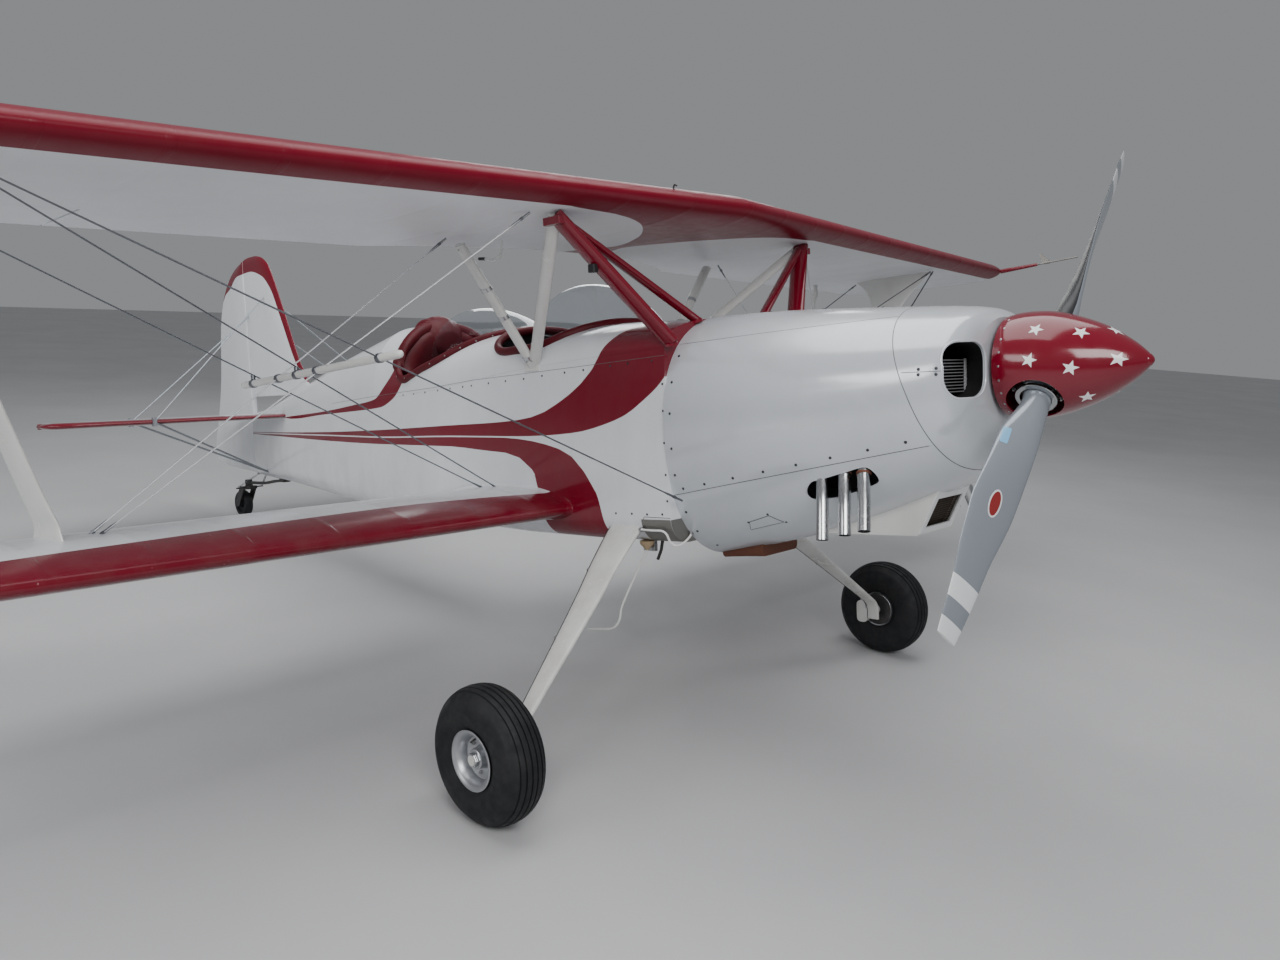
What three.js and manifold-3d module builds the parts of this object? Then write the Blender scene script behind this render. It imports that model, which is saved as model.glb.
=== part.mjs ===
// Two-seat open-cockpit sport biplane, parked on its tailwheel landing gear.
// Millimetres. +X to the nose, +Y to the port side, +Z up.
// Every piece is drawn in the level frame of the fuselage, whose X axis runs along the longerons, and
// the whole aeroplane is then pitched nose up until all three tyres stand on the floor.

import * as THREE from 'three';
import { mergeVertices } from 'three/addons/utils/BufferGeometryUtils.js';
import Module from 'manifold-3d';

const wasm = await Module();
wasm.setup();

const DEG = Math.PI / 180;
const ATTITUDE = 7.6 * DEG;           // nose-up angle of the longerons as it parks
const GAP = 0.4;                      // gap between two pieces that bear on each other
const SIDES = [['left', 1], ['right', -1]];

// Landing gear
const TYRE = { radius: 231 };
const TRACK_HALF = 1266;
const AXLE = { x: 30, radius: 17 };
const TAILWHEEL = { x: -4371, radius: 100 };
const axleHeight = (x, radius) => (radius - x * Math.sin(ATTITUDE)) / Math.cos(ATTITUDE);
const AXLE_Z = axleHeight(AXLE.x, TYRE.radius);
const TAILWHEEL_Z = axleHeight(TAILWHEEL.x, TAILWHEEL.radius);

// Propeller and engine
const PROP = { x: 1342, z: 1409, azimuth: 44 * DEG, pitch: 1745 };
const SPINNER = { back: 1228, wall: 5 };
const FIREWALL_X = 90;
const COWL_WALL = 7;

// Fuselage: half width, belly, top longeron and deck crown at each station
const FUSELAGE_WALL = 24;
const DECK_WALL = 12;
const BELLY_RADIUS = 105;
const FUSELAGE = [
  { x: 90, half: 404, belly: 792, longeron: 1535, deck: 1650 },
  { x: -350, half: 410, belly: 776, longeron: 1514, deck: 1668 },
  { x: -800, half: 410, belly: 770, longeron: 1484, deck: 1672 },
  { x: -1364, half: 386, belly: 776, longeron: 1425, deck: 1684 },
  { x: -2040, half: 322, belly: 793, longeron: 1377, deck: 1768 },
  { x: -2700, half: 240, belly: 824, longeron: 1342, deck: 1630 },
  { x: -3300, half: 158, belly: 860, longeron: 1318, deck: 1478 },
  { x: -3720, half: 98, belly: 884, longeron: 1304, deck: 1372 },
  { x: -4058, half: 34, belly: 905, longeron: 1294, deck: 1326 },
];
const DECK_SPLIT_X = -2040;
const COCKPITS = {
  front: { fore: -430, aft: -1030, half: 382 },
  rear: { fore: -1150, aft: -1925, half: 352 },
};
const BAY = { fore: 62, aft: -2085, floor: 850 };

// Wings: leading edge at the centre line, sweep and dihedral of each
const WING_THICKNESS = 0.12;
const UPPER = {
  leX: 210, z: 2069, chord: 1163, drop: 55, sweep: 0.1496, dihedral: 0.005, joint: 762, tip: 3680,
};
const LOWER = { leX: -452, z: 896, chord: 1100, drop: 22, sweep: 0, dihedral: 0.0115, root: 370, tip: 3350 };
const CENTRE_NOTCH = { x: -755, slope: 245, half: 790 };
const AILERONS = {
  upper: { wing: UPPER, chord: 0.69, inner: 2040, outer: 3400 },
  lower: { wing: LOWER, chord: 0.69, inner: 1900, outer: 3090 },
};
const HINGE_GAP = 7;

// Struts and wires
const CABANE = {
  frontTop: [-83, 762, 2008], rearTop: [-643, 762, 1976], apex: [-655, 400, 1496],
  thickFoot: [118, 396, 1552], thinFoot: [82, 205, 1642],
};
const INTERPLANE = {
  footY: 2222, topY: 2560, footFront: -655, footRear: -1120, topFront: -330, topRear: -860,
};
const WIRE_RADIUS = 4;
const JAVELIN = { y: 1500, front: [23, 1518], rear: [-1000, 1458], radius: 13 };

// Tail
const FIN_THICKNESS = 38;
const TAIL_THICKNESS = 36;
const RUDDER_HINGE_X = -4090;
const ELEVATOR_HINGE_X = -3900;
const STABILISER_Z = 1308;

const materials = {
  white: new THREE.MeshStandardMaterial({ color: 0xe9ebee, roughness: 0.25, metalness: 0 }),
  silver: new THREE.MeshStandardMaterial({ color: 0xc9ccd2, roughness: 0.3, metalness: 0.3 }),
  red: new THREE.MeshStandardMaterial({ color: 0x9a0f1c, roughness: 0.22, metalness: 0 }),
  leather: new THREE.MeshStandardMaterial({ color: 0x6e1420, roughness: 0.45, metalness: 0 }),
  glass: new THREE.MeshStandardMaterial({ color: 0xd8e6ee, roughness: 0.05, transparent: true, opacity: 0.3 }),
  black: new THREE.MeshStandardMaterial({ color: 0x1b1c1f, roughness: 0.6, metalness: 0 }),
  rubber: new THREE.MeshStandardMaterial({ color: 0x151617, roughness: 0.85, metalness: 0 }),
  alloy: new THREE.MeshStandardMaterial({ color: 0xb5b8bb, roughness: 0.35, metalness: 0.9 }),
  steel: new THREE.MeshStandardMaterial({ color: 0x8e9194, roughness: 0.3, metalness: 1 }),
  iron: new THREE.MeshStandardMaterial({ color: 0x4a4c4f, roughness: 0.6, metalness: 0.7 }),
};

const aeroplane = new THREE.Group();
aeroplane.rotation.y = -ATTITUDE;

function place(name, solid, material) {
  const mesh = new THREE.Mesh(toGeometry(solid), materials[material]);
  mesh.name = name;
  aeroplane.add(mesh);
  return solid;
}

// Solids and meshes

function toSolid(geometry) {
  const bare = geometry.clone();
  bare.deleteAttribute('normal');
  bare.deleteAttribute('uv');
  const merged = mergeVertices(bare, 1e-4);
  const vertProperties = new Float32Array(merged.attributes.position.array);
  const triVerts = new Uint32Array(merged.index.array);
  return new wasm.Manifold(new wasm.Mesh({ numProp: 3, vertProperties, triVerts }));
}

function toGeometry(solid) {
  const mesh = solid.getMesh();
  const geometry = new THREE.BufferGeometry();
  geometry.setAttribute('position', new THREE.BufferAttribute(new Float32Array(mesh.vertProperties), 3));
  geometry.setIndex(new THREE.BufferAttribute(new Uint32Array(mesh.triVerts), 1));
  return geometry;
}

const join = (...solids) => solids.reduce((all, solid) => all.add(solid));

// Takes the cutter out of a solid, with the bearing gap left all round it.
function cutClear(solid, cutter, gap = GAP) {
  const shifts = [[gap, 0, 0], [-gap, 0, 0], [0, gap, 0], [0, -gap, 0], [0, 0, gap], [0, 0, -gap]];
  return shifts.reduce((left, shift) => left.subtract(cutter.translate(shift)), solid);
}

// Rings of points [x, y, z], all with the same count, skinned in order and capped at both ends.
function loft(rings) {
  const count = rings[0].length;
  const positions = rings.flat().flat();
  const index = [];
  for (let r = 0; r < rings.length - 1; r++) {
    for (let i = 0; i < count; i++) {
      const a = r * count + i;
      const b = r * count + (i + 1) % count;
      index.push(a, b, b + count, a, b + count, a + count);
    }
  }
  for (const [start, flip] of [[0, true], [(rings.length - 1) * count, false]]) {
    for (const [a, b, c] of capTriangles(positions, start, count)) {
      index.push(...(flip ? [start + c, start + b, start + a] : [start + a, start + b, start + c]));
    }
  }
  return closedSolid(positions, index);
}

function capTriangles(positions, start, count) {
  const points = [];
  for (let i = 0; i < count; i++) points.push(new THREE.Vector3().fromArray(positions, 3 * (start + i)));
  const normal = new THREE.Vector3();
  for (let i = 0; i < count; i++) normal.add(points[i].clone().cross(points[(i + 1) % count]));
  const size = [Math.abs(normal.x), Math.abs(normal.y), Math.abs(normal.z)];
  const drop = size.indexOf(Math.max(...size));
  const keep = [0, 1, 2].filter((axis) => axis !== drop);
  const flat = points.map((p) => new THREE.Vector2(p.getComponent(keep[0]), p.getComponent(keep[1])));
  const faces = THREE.ShapeUtils.triangulateShape(flat, []);
  const [p, q, s] = faces[0].map((i) => points[i]);
  const facing = q.clone().sub(p).cross(s.clone().sub(p)).dot(normal);
  return facing > 0 ? faces : faces.map(([a, b, c]) => [c, b, a]);
}

function closedSolid(positions, index) {
  let volume = 0;
  const point = (i) => new THREE.Vector3().fromArray(positions, 3 * i);
  for (let t = 0; t < index.length; t += 3) {
    volume += point(index[t]).dot(point(index[t + 1]).cross(point(index[t + 2])));
  }
  const outward = volume > 0 ? index : [...index].reverse();
  const geometry = new THREE.BufferGeometry();
  geometry.setAttribute('position', new THREE.Float32BufferAttribute(positions, 3));
  geometry.setIndex(outward);
  return toSolid(geometry);
}

// A ring swept round a closed loop, such as a cockpit rim.
function sweepLoop(rings) {
  const count = rings[0].length;
  const index = [];
  for (let r = 0; r < rings.length; r++) {
    const next = (r + 1) % rings.length;
    for (let i = 0; i < count; i++) {
      const j = (i + 1) % count;
      const [a, b, c, d] = [r * count + i, r * count + j, next * count + j, next * count + i];
      index.push(a, b, c, a, c, d);
    }
  }
  return closedSolid(rings.flat().flat(), index);
}

function box(low, high) {
  const geometry = new THREE.BoxGeometry(high[0] - low[0], high[1] - low[1], high[2] - low[2]);
  geometry.translate((low[0] + high[0]) / 2, (low[1] + high[1]) / 2, (low[2] + high[2]) / 2);
  return toSolid(geometry);
}

// A round bar between two points, with an optional second radius.
function bar(from, to, radius, endRadius = radius, sides = 12) {
  const a = new THREE.Vector3(...from);
  const b = new THREE.Vector3(...to);
  const geometry = new THREE.CylinderGeometry(endRadius, radius, a.distanceTo(b), sides);
  geometry.applyQuaternion(new THREE.Quaternion().setFromUnitVectors(
    new THREE.Vector3(0, 1, 0), b.clone().sub(a).normalize()));
  geometry.translate((a.x + b.x) / 2, (a.y + b.y) / 2, (a.z + b.z) / 2);
  return toSolid(geometry);
}

// A streamlined strut: an ellipse whose chord lies fore and aft, between two points.
function strut(from, to, chord, thickness, endChord = chord, sides = 12) {
  const axis = new THREE.Vector3(...to).sub(new THREE.Vector3(...from)).normalize();
  const fore = new THREE.Vector3(1, 0, 0).addScaledVector(axis, -axis.x).normalize();
  const across = axis.clone().cross(fore);
  const ring = (centre, length) => Array.from({ length: sides }, (_, i) => {
    const angle = i / sides * 2 * Math.PI;
    return new THREE.Vector3(...centre)
      .addScaledVector(fore, Math.cos(angle) * length / 2)
      .addScaledVector(across, Math.sin(angle) * thickness / 2).toArray();
  });
  return loft([ring(from, chord), ring(to, endChord)]);
}

// A profile of [radius, distance] turned about an axis through a point.
function turned(profile, origin, direction, segments = 40) {
  const geometry = new THREE.LatheGeometry(profile.map(([r, d]) => new THREE.Vector2(r, d)), segments);
  geometry.applyQuaternion(new THREE.Quaternion().setFromUnitVectors(
    new THREE.Vector3(0, 1, 0), new THREE.Vector3(...direction).normalize()));
  geometry.translate(...origin);
  geometry.deleteAttribute('normal');
  geometry.deleteAttribute('uv');
  const merged = mergeVertices(geometry, 1e-4);
  const index = dropThinTriangles(merged);
  return closedSolid([...merged.attributes.position.array], index);
}

function dropThinTriangles(geometry) {
  const kept = [];
  const source = geometry.index.array;
  for (let t = 0; t < source.length; t += 3) {
    const [a, b, c] = [source[t], source[t + 1], source[t + 2]];
    if (a !== b && b !== c && c !== a) kept.push(a, b, c);
  }
  return kept;
}

// A round tube along a smooth curve through points.
function pipe(points, radius, steps, quarter = 2) {
  const path = new THREE.CatmullRomCurve3(points.map((p) => new THREE.Vector3(...p)));
  const circle = new THREE.Shape();
  circle.absarc(0, 0, radius, 0, 2 * Math.PI);
  return toSolid(new THREE.ExtrudeGeometry(circle, { steps, extrudePath: path, curveSegments: quarter * 2 }));
}

// An outline in X and Z, cut from a sheet of a given thickness with eased edges, set at y.
function upright(outline, thickness, ease) {
  const shape = new THREE.Shape(outline.map(([x, z]) => new THREE.Vector2(x, z)));
  const geometry = new THREE.ExtrudeGeometry(shape, {
    depth: thickness - 2 * ease, bevelEnabled: true, bevelThickness: ease, bevelSize: ease,
    bevelOffset: -ease, bevelSegments: 2 });
  geometry.translate(0, 0, ease - thickness / 2);
  geometry.rotateX(Math.PI / 2);
  return toSolid(geometry);
}

// The same outline in X and Y, lying flat at a height.
function level(outline, thickness, ease, z) {
  const shape = new THREE.Shape(outline.map(([x, y]) => new THREE.Vector2(x, y)));
  const geometry = new THREE.ExtrudeGeometry(shape, {
    depth: thickness - 2 * ease, bevelEnabled: true, bevelThickness: ease, bevelSize: ease,
    bevelOffset: -ease, bevelSegments: 2 });
  geometry.translate(0, 0, z + ease - thickness / 2);
  return toSolid(geometry);
}

const onSide = (point, side) => [point[0], side * point[1], point[2]];

// Fuselage

function stationAt(x) {
  const after = FUSELAGE.findIndex((s) => s.x <= x);
  const b = FUSELAGE[Math.max(after, 1)];
  const a = FUSELAGE[Math.max(after, 1) - 1];
  const t = (a.x - x) / (a.x - b.x);
  const mix = (key) => a[key] + (b[key] - a[key]) * t;
  return { x, half: mix('half'), belly: mix('belly'), longeron: mix('longeron'), deck: mix('deck') };
}

function hullRing(s, inset, top, floor) {
  const half = s.half - inset;
  const belly = floor ?? s.belly + inset;
  const radius = Math.min(BELLY_RADIUS - inset / 2, half * 0.8);
  const side = [[half, top], [half + 8, (top + belly + radius) / 2]];
  for (let i = 0; i <= 4; i++) {
    const angle = i / 4 * Math.PI / 2;
    side.push([half - radius + radius * Math.cos(angle), belly + radius - radius * Math.sin(angle)]);
  }
  const mirrored = [...side].reverse().map(([y, z]) => [-y, z]);
  return [...side, ...mirrored].map(([y, z]) => [s.x, y, z]);
}

function deckRing(s, inset, base, steps = 12) {
  const ring = [];
  for (let i = 0; i <= steps; i++) {
    const angle = i / steps * Math.PI;
    const y = (s.half - inset) * Math.sign(Math.cos(angle)) * Math.abs(Math.cos(angle)) ** 0.86;
    const z = base + (s.deck - inset - base) * Math.sin(angle) ** 0.86;
    ring.push([s.x, y, z]);
  }
  return ring;
}

function makeHull() {
  const outer = loft(FUSELAGE.map((s) => hullRing(s, 0, s.longeron)));
  const bayStations = [BAY.fore, -350, -800, -1364, BAY.aft].map(stationAt);
  const bay = loft(bayStations.map((s) => hullRing(s, FUSELAGE_WALL, s.longeron + 40, BAY.floor)));
  return { outer, hollow: outer.subtract(bay) };
}

const RIM = { points: 26, radius: 17, aftFirst: 10, padRadius: 34 };

// Half the cockpit's width at a distance along it: rounder ahead, squarer behind.
function cockpitHalf({ fore, aft, half }, x) {
  const middle = (fore + aft) / 2;
  const reach = Math.abs(x - middle) / ((fore - aft) / 2);
  const power = x > middle ? 2.6 : 4;
  return half * Math.max(1 - reach ** power, 0) ** (1 / power);
}

function cockpitOutline(cockpit) {
  const { fore, aft, half } = cockpit;
  const middle = (fore + aft) / 2;
  const reach = (fore - aft) / 2;
  return Array.from({ length: RIM.points }, (_, i) => {
    const angle = i / RIM.points * 2 * Math.PI;
    const c = Math.cos(angle);
    const v = Math.sin(angle);
    const power = 2 / (c > 0 ? 2.6 : 4);
    return [middle + reach * Math.sign(c) * Math.abs(c) ** power,
      half * Math.sign(v) * Math.abs(v) ** power];
  });
}

function makeDeck() {
  const stations = [FIREWALL_X, -350, -800, -1364, DECK_SPLIT_X + GAP].map(stationAt);
  const outer = loft(stations.map((s) => deckRing(s, 0, s.longeron + GAP)));
  const inner = loft([FIREWALL_X - 28, -350, -800, -1364, DECK_SPLIT_X + 20].map(stationAt)
    .map((s) => deckRing(s, DECK_WALL, s.longeron - 30)));
  const holes = Object.values(COCKPITS).map((cockpit) => {
    const outline = cockpitOutline(cockpit);
    return loft([1400, 1900].map((z) => outline.map(([x, y]) => [x, y, z])));
  });
  return { outer, open: holes.reduce((deck, hole) => deck.subtract(hole), outer.subtract(inner)) };
}

function makeTurtledeck() {
  const stations = [DECK_SPLIT_X, -2700, -3300, -3720, -4058].map(stationAt);
  return loft(stations.map((s) => deckRing(s, 0, s.longeron + GAP)));
}

const deckHeight = (x, y) => {
  const s = stationAt(x);
  const across = Math.min(Math.abs(y) / s.half, 1);
  return s.longeron + (s.deck - s.longeron) * (1 - across ** (2 / 0.86)) ** 0.43;
};

// One section of the padded rim round a cockpit, held just proud of the deck.
function rimRing(outline, i, radius) {
  const count = outline.length;
  const [x, y] = outline[i % count];
  const before = outline[(i + count - 1) % count];
  const after = outline[(i + 1) % count];
  const along = new THREE.Vector2(after[0] - before[0], after[1] - before[1]).normalize();
  const z = deckHeight(x, y) + 4;
  return Array.from({ length: 6 }, (_, k) => {
    const angle = k / 6 * 2 * Math.PI;
    const shift = radius * Math.cos(angle);
    return [x + along.y * shift, y - along.x * shift, z + 1.2 * radius * Math.sin(angle)];
  });
}

function rimRun(cockpit, first, last, radius) {
  const outline = cockpitOutline(cockpit);
  const rings = [];
  for (let i = first; i <= last; i++) rings.push(rimRing(outline, i + RIM.points, radius));
  return rings;
}

const makeFrontRim = (extra) => sweepLoop(rimRun(COCKPITS.front, 0, RIM.points - 1, RIM.radius + extra));

// The rear rim is open behind, where the headrest's pad takes over.
const makeRearRim = (extra) => loft(rimRun(COCKPITS.rear, -RIM.aftFirst, RIM.aftFirst, RIM.radius + extra));

// Cowling

const COWL = [
  { x: FIREWALL_X + GAP, half: 424, top: 1660, middle: 1250, bottom: 712 },
  { x: 400, half: 420, top: 1655, middle: 1268, bottom: 785 },
  { x: 720, half: 404, top: 1638, middle: 1295, bottom: 876 },
  { x: 1000, half: 380, top: 1620, middle: 1335, bottom: 985 },
  { x: 1110, half: 364, top: 1610, middle: 1362, bottom: 1042 },
  { x: 1160, half: 348, top: 1602, middle: 1380, bottom: 1086 },
  { x: 1184, half: 322, top: 1592, middle: 1392, bottom: 1135 },
  { x: 1200, half: 285, top: 1578, middle: 1402, bottom: 1200 },
  { x: 1214, half: 205, top: 1568, middle: 1409, bottom: 1246 },
];
const NOSE_SEAM = { x: 1025, z: 1400, lean: -0.39 };
const SIDE_SEAM = { z: 985, slope: 0.2 };
const INLET = { y: 258, z: 1403, width: 180, height: 170, corner: 62 };
const STACK_SLOT = { fore: 985, aft: 700, low: 1005, high: 1110, corner: 48 };

function cowlRing(s, inset, points = 32) {
  const power = 2 / 2.35;
  return Array.from({ length: points }, (_, i) => {
    const angle = i / points * 2 * Math.PI;
    const c = Math.cos(angle);
    const v = Math.sin(angle);
    const rise = (v > 0 ? s.top - s.middle : s.middle - s.bottom) - inset;
    return [s.x, (s.half - inset) * Math.sign(c) * Math.abs(c) ** power,
      s.middle + rise * Math.sign(v) * Math.abs(v) ** power];
  });
}

function makeCowlShell() {
  const outer = loft(COWL.map((s) => cowlRing(s, 0)));
  const inside = COWL.map((s) => ({ ...s, x: s.x - (s.x > 1100 ? COWL_WALL + 2 : 0) }));
  inside[0].x -= 5;
  return outer.subtract(loft(inside.map((s) => cowlRing(s, COWL_WALL))));
}

function slantedBlock(seamX, from, to) {
  const corners = (y) => [[seamX(600), y, 600], [to, y, 600], [to, y, 1800], [seamX(1800), y, 1800]];
  return loft([corners(-600), corners(600)]);
}

// A rectangle with round corners, as points on a plane.
function roundedOutline(low, high, corner) {
  const outline = [];
  for (const [right, upper, start] of [[1, 1, 0], [0, 1, 90], [0, 0, 180], [1, 0, 270]]) {
    for (let i = 0; i <= 3; i++) {
      const angle = (start + i * 30) * DEG;
      outline.push([(right ? high[0] - corner : low[0] + corner) + corner * Math.cos(angle),
        (upper ? high[1] - corner : low[1] + corner) + corner * Math.sin(angle)]);
    }
  }
  return outline;
}

function inletCutter(side) {
  const { y, z, width, height, corner } = INLET;
  const low = [side * y - width / 2, z - height / 2];
  const outline = roundedOutline(low, [low[0] + width, low[1] + height], corner);
  return loft([1060, 1300].map((x) => outline.map(([a, b]) => [x, a, b])));
}

function stackCutter(side) {
  const { fore, aft, low, high, corner } = STACK_SLOT;
  const outline = roundedOutline([aft, low], [fore, high], corner);
  return loft([250, 470].map((y) => outline.map(([a, b]) => [a, side * y, b])));
}

function makeCowl() {
  let shell = makeCowlShell();
  for (const [, side] of SIDES) {
    shell = shell.subtract(inletCutter(side)).subtract(stackCutter(side));
  }
  shell = shell.subtract(bar([1150, 0, PROP.z], [1260, 0, PROP.z], 110, 110, 28));
  const seamX = (z, shift) => NOSE_SEAM.x + NOSE_SEAM.lean * (z - NOSE_SEAM.z) + shift;
  const bowl = shell.intersect(slantedBlock((z) => seamX(z, GAP), 0, 1400));
  const barrel = shell.subtract(slantedBlock((z) => seamX(z, 0), 0, 1400));
  const seamZ = (x, shift) => SIDE_SEAM.z + SIDE_SEAM.slope * x + shift;
  const below = (shift) => loft([-600, 600].map((y) => [[0, y, 500], [1400, y, 500],
    [1400, y, seamZ(1400, shift)], [0, y, seamZ(0, shift)]]));
  const lower = barrel.intersect(below(0));
  const upper = barrel.subtract(below(GAP));
  return { bowl, lower, upper };
}

// Chin scoop under the cowl: its mouth leans back under the nose.
function makeScoop(cowlSolid) {
  const half = 122;
  const side = (y) => [[1032, 1100], [1032, 1022], [950, 852], [480, 832], [400, 800], [400, 900], [700, 960]]
    .map(([x, z]) => [x, y, z]);
  const outer = loft([side(-half), side(half)]);
  const inner = loft([-half + 12, half - 12].map((y) => [[1080, y, 1060], [1040, y, 1008], [966, y, 866],
    [760, y, 862], [760, y, 925]]));
  return cutClear(outer.subtract(inner), cowlSolid);
}

// Engine: one plain block with its crankshaft nose.
function makeEngine() {
  const block = box([260, -205, 1130], [1010, 205, 1520]);
  const cylinders = SIDES.map(([, side]) => box([330, side > 0 ? 200 : -335, 1230],
    [1000, side > 0 ? 335 : -200, 1470]));
  return join(block, ...cylinders, bar([1000, 0, PROP.z], [1150, 0, PROP.z], 70, 62, 20));
}

function makeExhaust(side) {
  const stacks = [[757, 862], [842, 884], [914, 902]].map(([x, end]) => pipe([
    [x, side * 262, 1084], [x, side * 330, 1080], [x, side * 376, 1040], [x, side * 390, 975],
    [x - 4, side * 398, end]], 21, 8));
  const header = bar([730, side * 262, 1084], [945, side * 262, 1084], 24, 24, 10);
  return join(header, ...stacks);
}

// Propeller

// The spinner's radius at each distance ahead of its back plate.
const SPINNER_PROFILE = [
  [160, 0], [167, 32], [169, 82], [163, 142], [143, 212], [109, 292], [63, 362], [28, 402], [8, 418],
];
const BLADE_HOLE = { radius: 66, length: 260 };

function makeSpinner() {
  const end = SPINNER_PROFILE.at(-1)[1];
  const shape = (inset) => [[0, inset], ...SPINNER_PROFILE.slice(0, -1)
    .map(([radius, ahead]) => [radius - inset, Math.max(ahead - inset / 2, inset)]), [0, end + 5 - 2.5 * inset]];
  const origin = [SPINNER.back, 0, PROP.z];
  const hollow = turned(shape(SPINNER.wall), origin, [1, 0, 0], 30);
  let shell = turned(shape(0), origin, [1, 0, 0], 30).subtract(hollow);
  shell = shell.subtract(bar([SPINNER.back - 5, 0, PROP.z], [SPINNER.back + 20, 0, PROP.z], 60, 60, 24));
  for (const turn of [1, -1]) {
    const out = [PROP.x, -turn * BLADE_HOLE.length * Math.sin(PROP.azimuth),
      PROP.z - turn * BLADE_HOLE.length * Math.cos(PROP.azimuth)];
    shell = shell.subtract(bar([PROP.x, 0, PROP.z], out, BLADE_HOLE.radius, BLADE_HOLE.radius, 20));
  }
  return shell;
}

function makeHub() {
  const flange = bar([1160, 0, PROP.z], [SPINNER.back + 12, 0, PROP.z], 56, 56, 18);
  const shaft = bar([1200, 0, PROP.z], [PROP.x, 0, PROP.z], 50, 54, 18);
  const dome = bar([1330, 0, PROP.z], [1480, 0, PROP.z], 52, 46, 18);
  const arm = (turn) => bar([PROP.x, 0, PROP.z],
    [PROP.x, -turn * 118 * Math.sin(PROP.azimuth), PROP.z - turn * 118 * Math.cos(PROP.azimuth)], 54, 54, 18);
  return join(flange, shaft, dome, arm(1), arm(-1));
}

// Blade sections: radius, chord, thickness; the leading edge faces the way the propeller turns.
const BLADE = [
  [119, 92, 92], [190, 86, 82], [260, 112, 58], [360, 145, 40], [520, 165, 27],
  [720, 162, 19], [880, 146, 14], [980, 118, 10], [1012, 86, 7], [1018, 50, 5],
];

function makeBlade(turn) {
  const out = new THREE.Vector3(0, -turn * Math.sin(PROP.azimuth), -turn * Math.cos(PROP.azimuth));
  const ahead = new THREE.Vector3(1, 0, 0);
  const lead = new THREE.Vector3(0, turn * Math.cos(PROP.azimuth), -turn * Math.sin(PROP.azimuth));
  const centre = new THREE.Vector3(PROP.x, 0, PROP.z);
  const rings = BLADE.map(([radius, chord, thickness]) => {
    const angle = Math.atan2(PROP.pitch, 2 * Math.PI * Math.max(radius, 240));
    const along = lead.clone().multiplyScalar(Math.cos(angle)).addScaledVector(ahead, Math.sin(angle));
    const face = ahead.clone().multiplyScalar(Math.cos(angle)).addScaledVector(lead, -Math.sin(angle));
    return Array.from({ length: 14 }, (_, i) => {
      const a = i / 14 * 2 * Math.PI;
      return centre.clone().addScaledVector(out, radius)
        .addScaledVector(along, Math.cos(a) * chord / 2)
        .addScaledVector(face, Math.sin(a) * thickness / 2).toArray();
    });
  });
  return loft(rings);
}

// Wings

// Aerofoil points from the trailing edge over the top and back underneath, as fractions of the chord.
function aerofoil(steps = 11) {
  const camber = 0.024;
  const peak = 0.4;
  const line = (t) => (t < peak
    ? camber / peak ** 2 * (2 * peak * t - t * t)
    : camber / (1 - peak) ** 2 * (1 - 2 * peak + 2 * peak * t - t * t));
  const half = (t) => 5 * WING_THICKNESS * (0.2969 * Math.sqrt(t) - 0.126 * t - 0.3516 * t ** 2
    + 0.2843 * t ** 3 - 0.1036 * t ** 4) + 0.0022 * t;
  const top = [];
  const under = [];
  for (let i = 0; i <= steps; i++) {
    const t = (1 - Math.cos(i / steps * Math.PI)) / 2;
    top.unshift([t, line(t) + half(t)]);
    if (i > 0) under.push([t, line(t) - half(t)]);
  }
  return [...top, ...under];
}

// One section of a wing at a span distance; shrink draws it in towards its front part for a rounded tip.
const TIP_CENTRE = 0.24;

function wingRing(wing, y, shrink = 0) {
  const span = Math.abs(y);
  const leX = wing.leX - wing.sweep * span;
  const z = wing.z + wing.dihedral * span;
  return aerofoil().map(([t, h]) => {
    const across = TIP_CENTRE + (t - TIP_CENTRE) * (1 - shrink);
    const height = h * (1 - shrink * 0.75);
    return [leX - across * wing.chord, y, z - across * wing.drop + height * wing.chord];
  });
}

function wingPanel(wing, from, to, side, rounded) {
  const stations = rounded
    ? [[from, 0], [to - 190, 0], [to - 90, 0.05], [to - 30, 0.17], [to, 0.36]]
    : [[from, 0], [to, 0]];
  return loft(stations.map(([y, shrink]) => wingRing(wing, side * y, shrink)));
}

// The hinge of an aileron at a span distance: the mid point of the wing's thickness.
function aileronHinge({ wing, chord }, y) {
  const ring = wingRing(wing, y);
  const x = wing.leX - wing.sweep * Math.abs(y) - chord * wing.chord;
  const crossings = [];
  ring.forEach((a, i) => {
    const b = ring[(i + 1) % ring.length];
    if ((a[0] - x) * (b[0] - x) < 0) crossings.push(a[2] + (b[2] - a[2]) * (x - a[0]) / (b[0] - a[0]));
  });
  const [high, low] = [Math.max(...crossings), Math.min(...crossings)];
  return { x, z: (high + low) / 2, radius: (high - low) / 2 };
}

// Everything behind the hinge with a round nose of the given extra radius, between two span distances.
function hingeRegion(aileron, from, to, extra) {
  const ring = (y) => {
    const { x, z, radius } = aileronHinge(aileron, y);
    const nose = [];
    for (let i = 0; i <= 8; i++) {
      const angle = (90 - i * 22.5) * DEG;
      nose.push([x + (radius + extra) * Math.cos(angle), y, z + (radius + extra) * Math.sin(angle)]);
    }
    return [[x, y, z + 130], ...nose, [x, y, z - 130], [x - 600, y, z - 130], [x - 600, y, z + 130]];
  };
  return loft([ring(from), ring(to)]);
}

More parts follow.
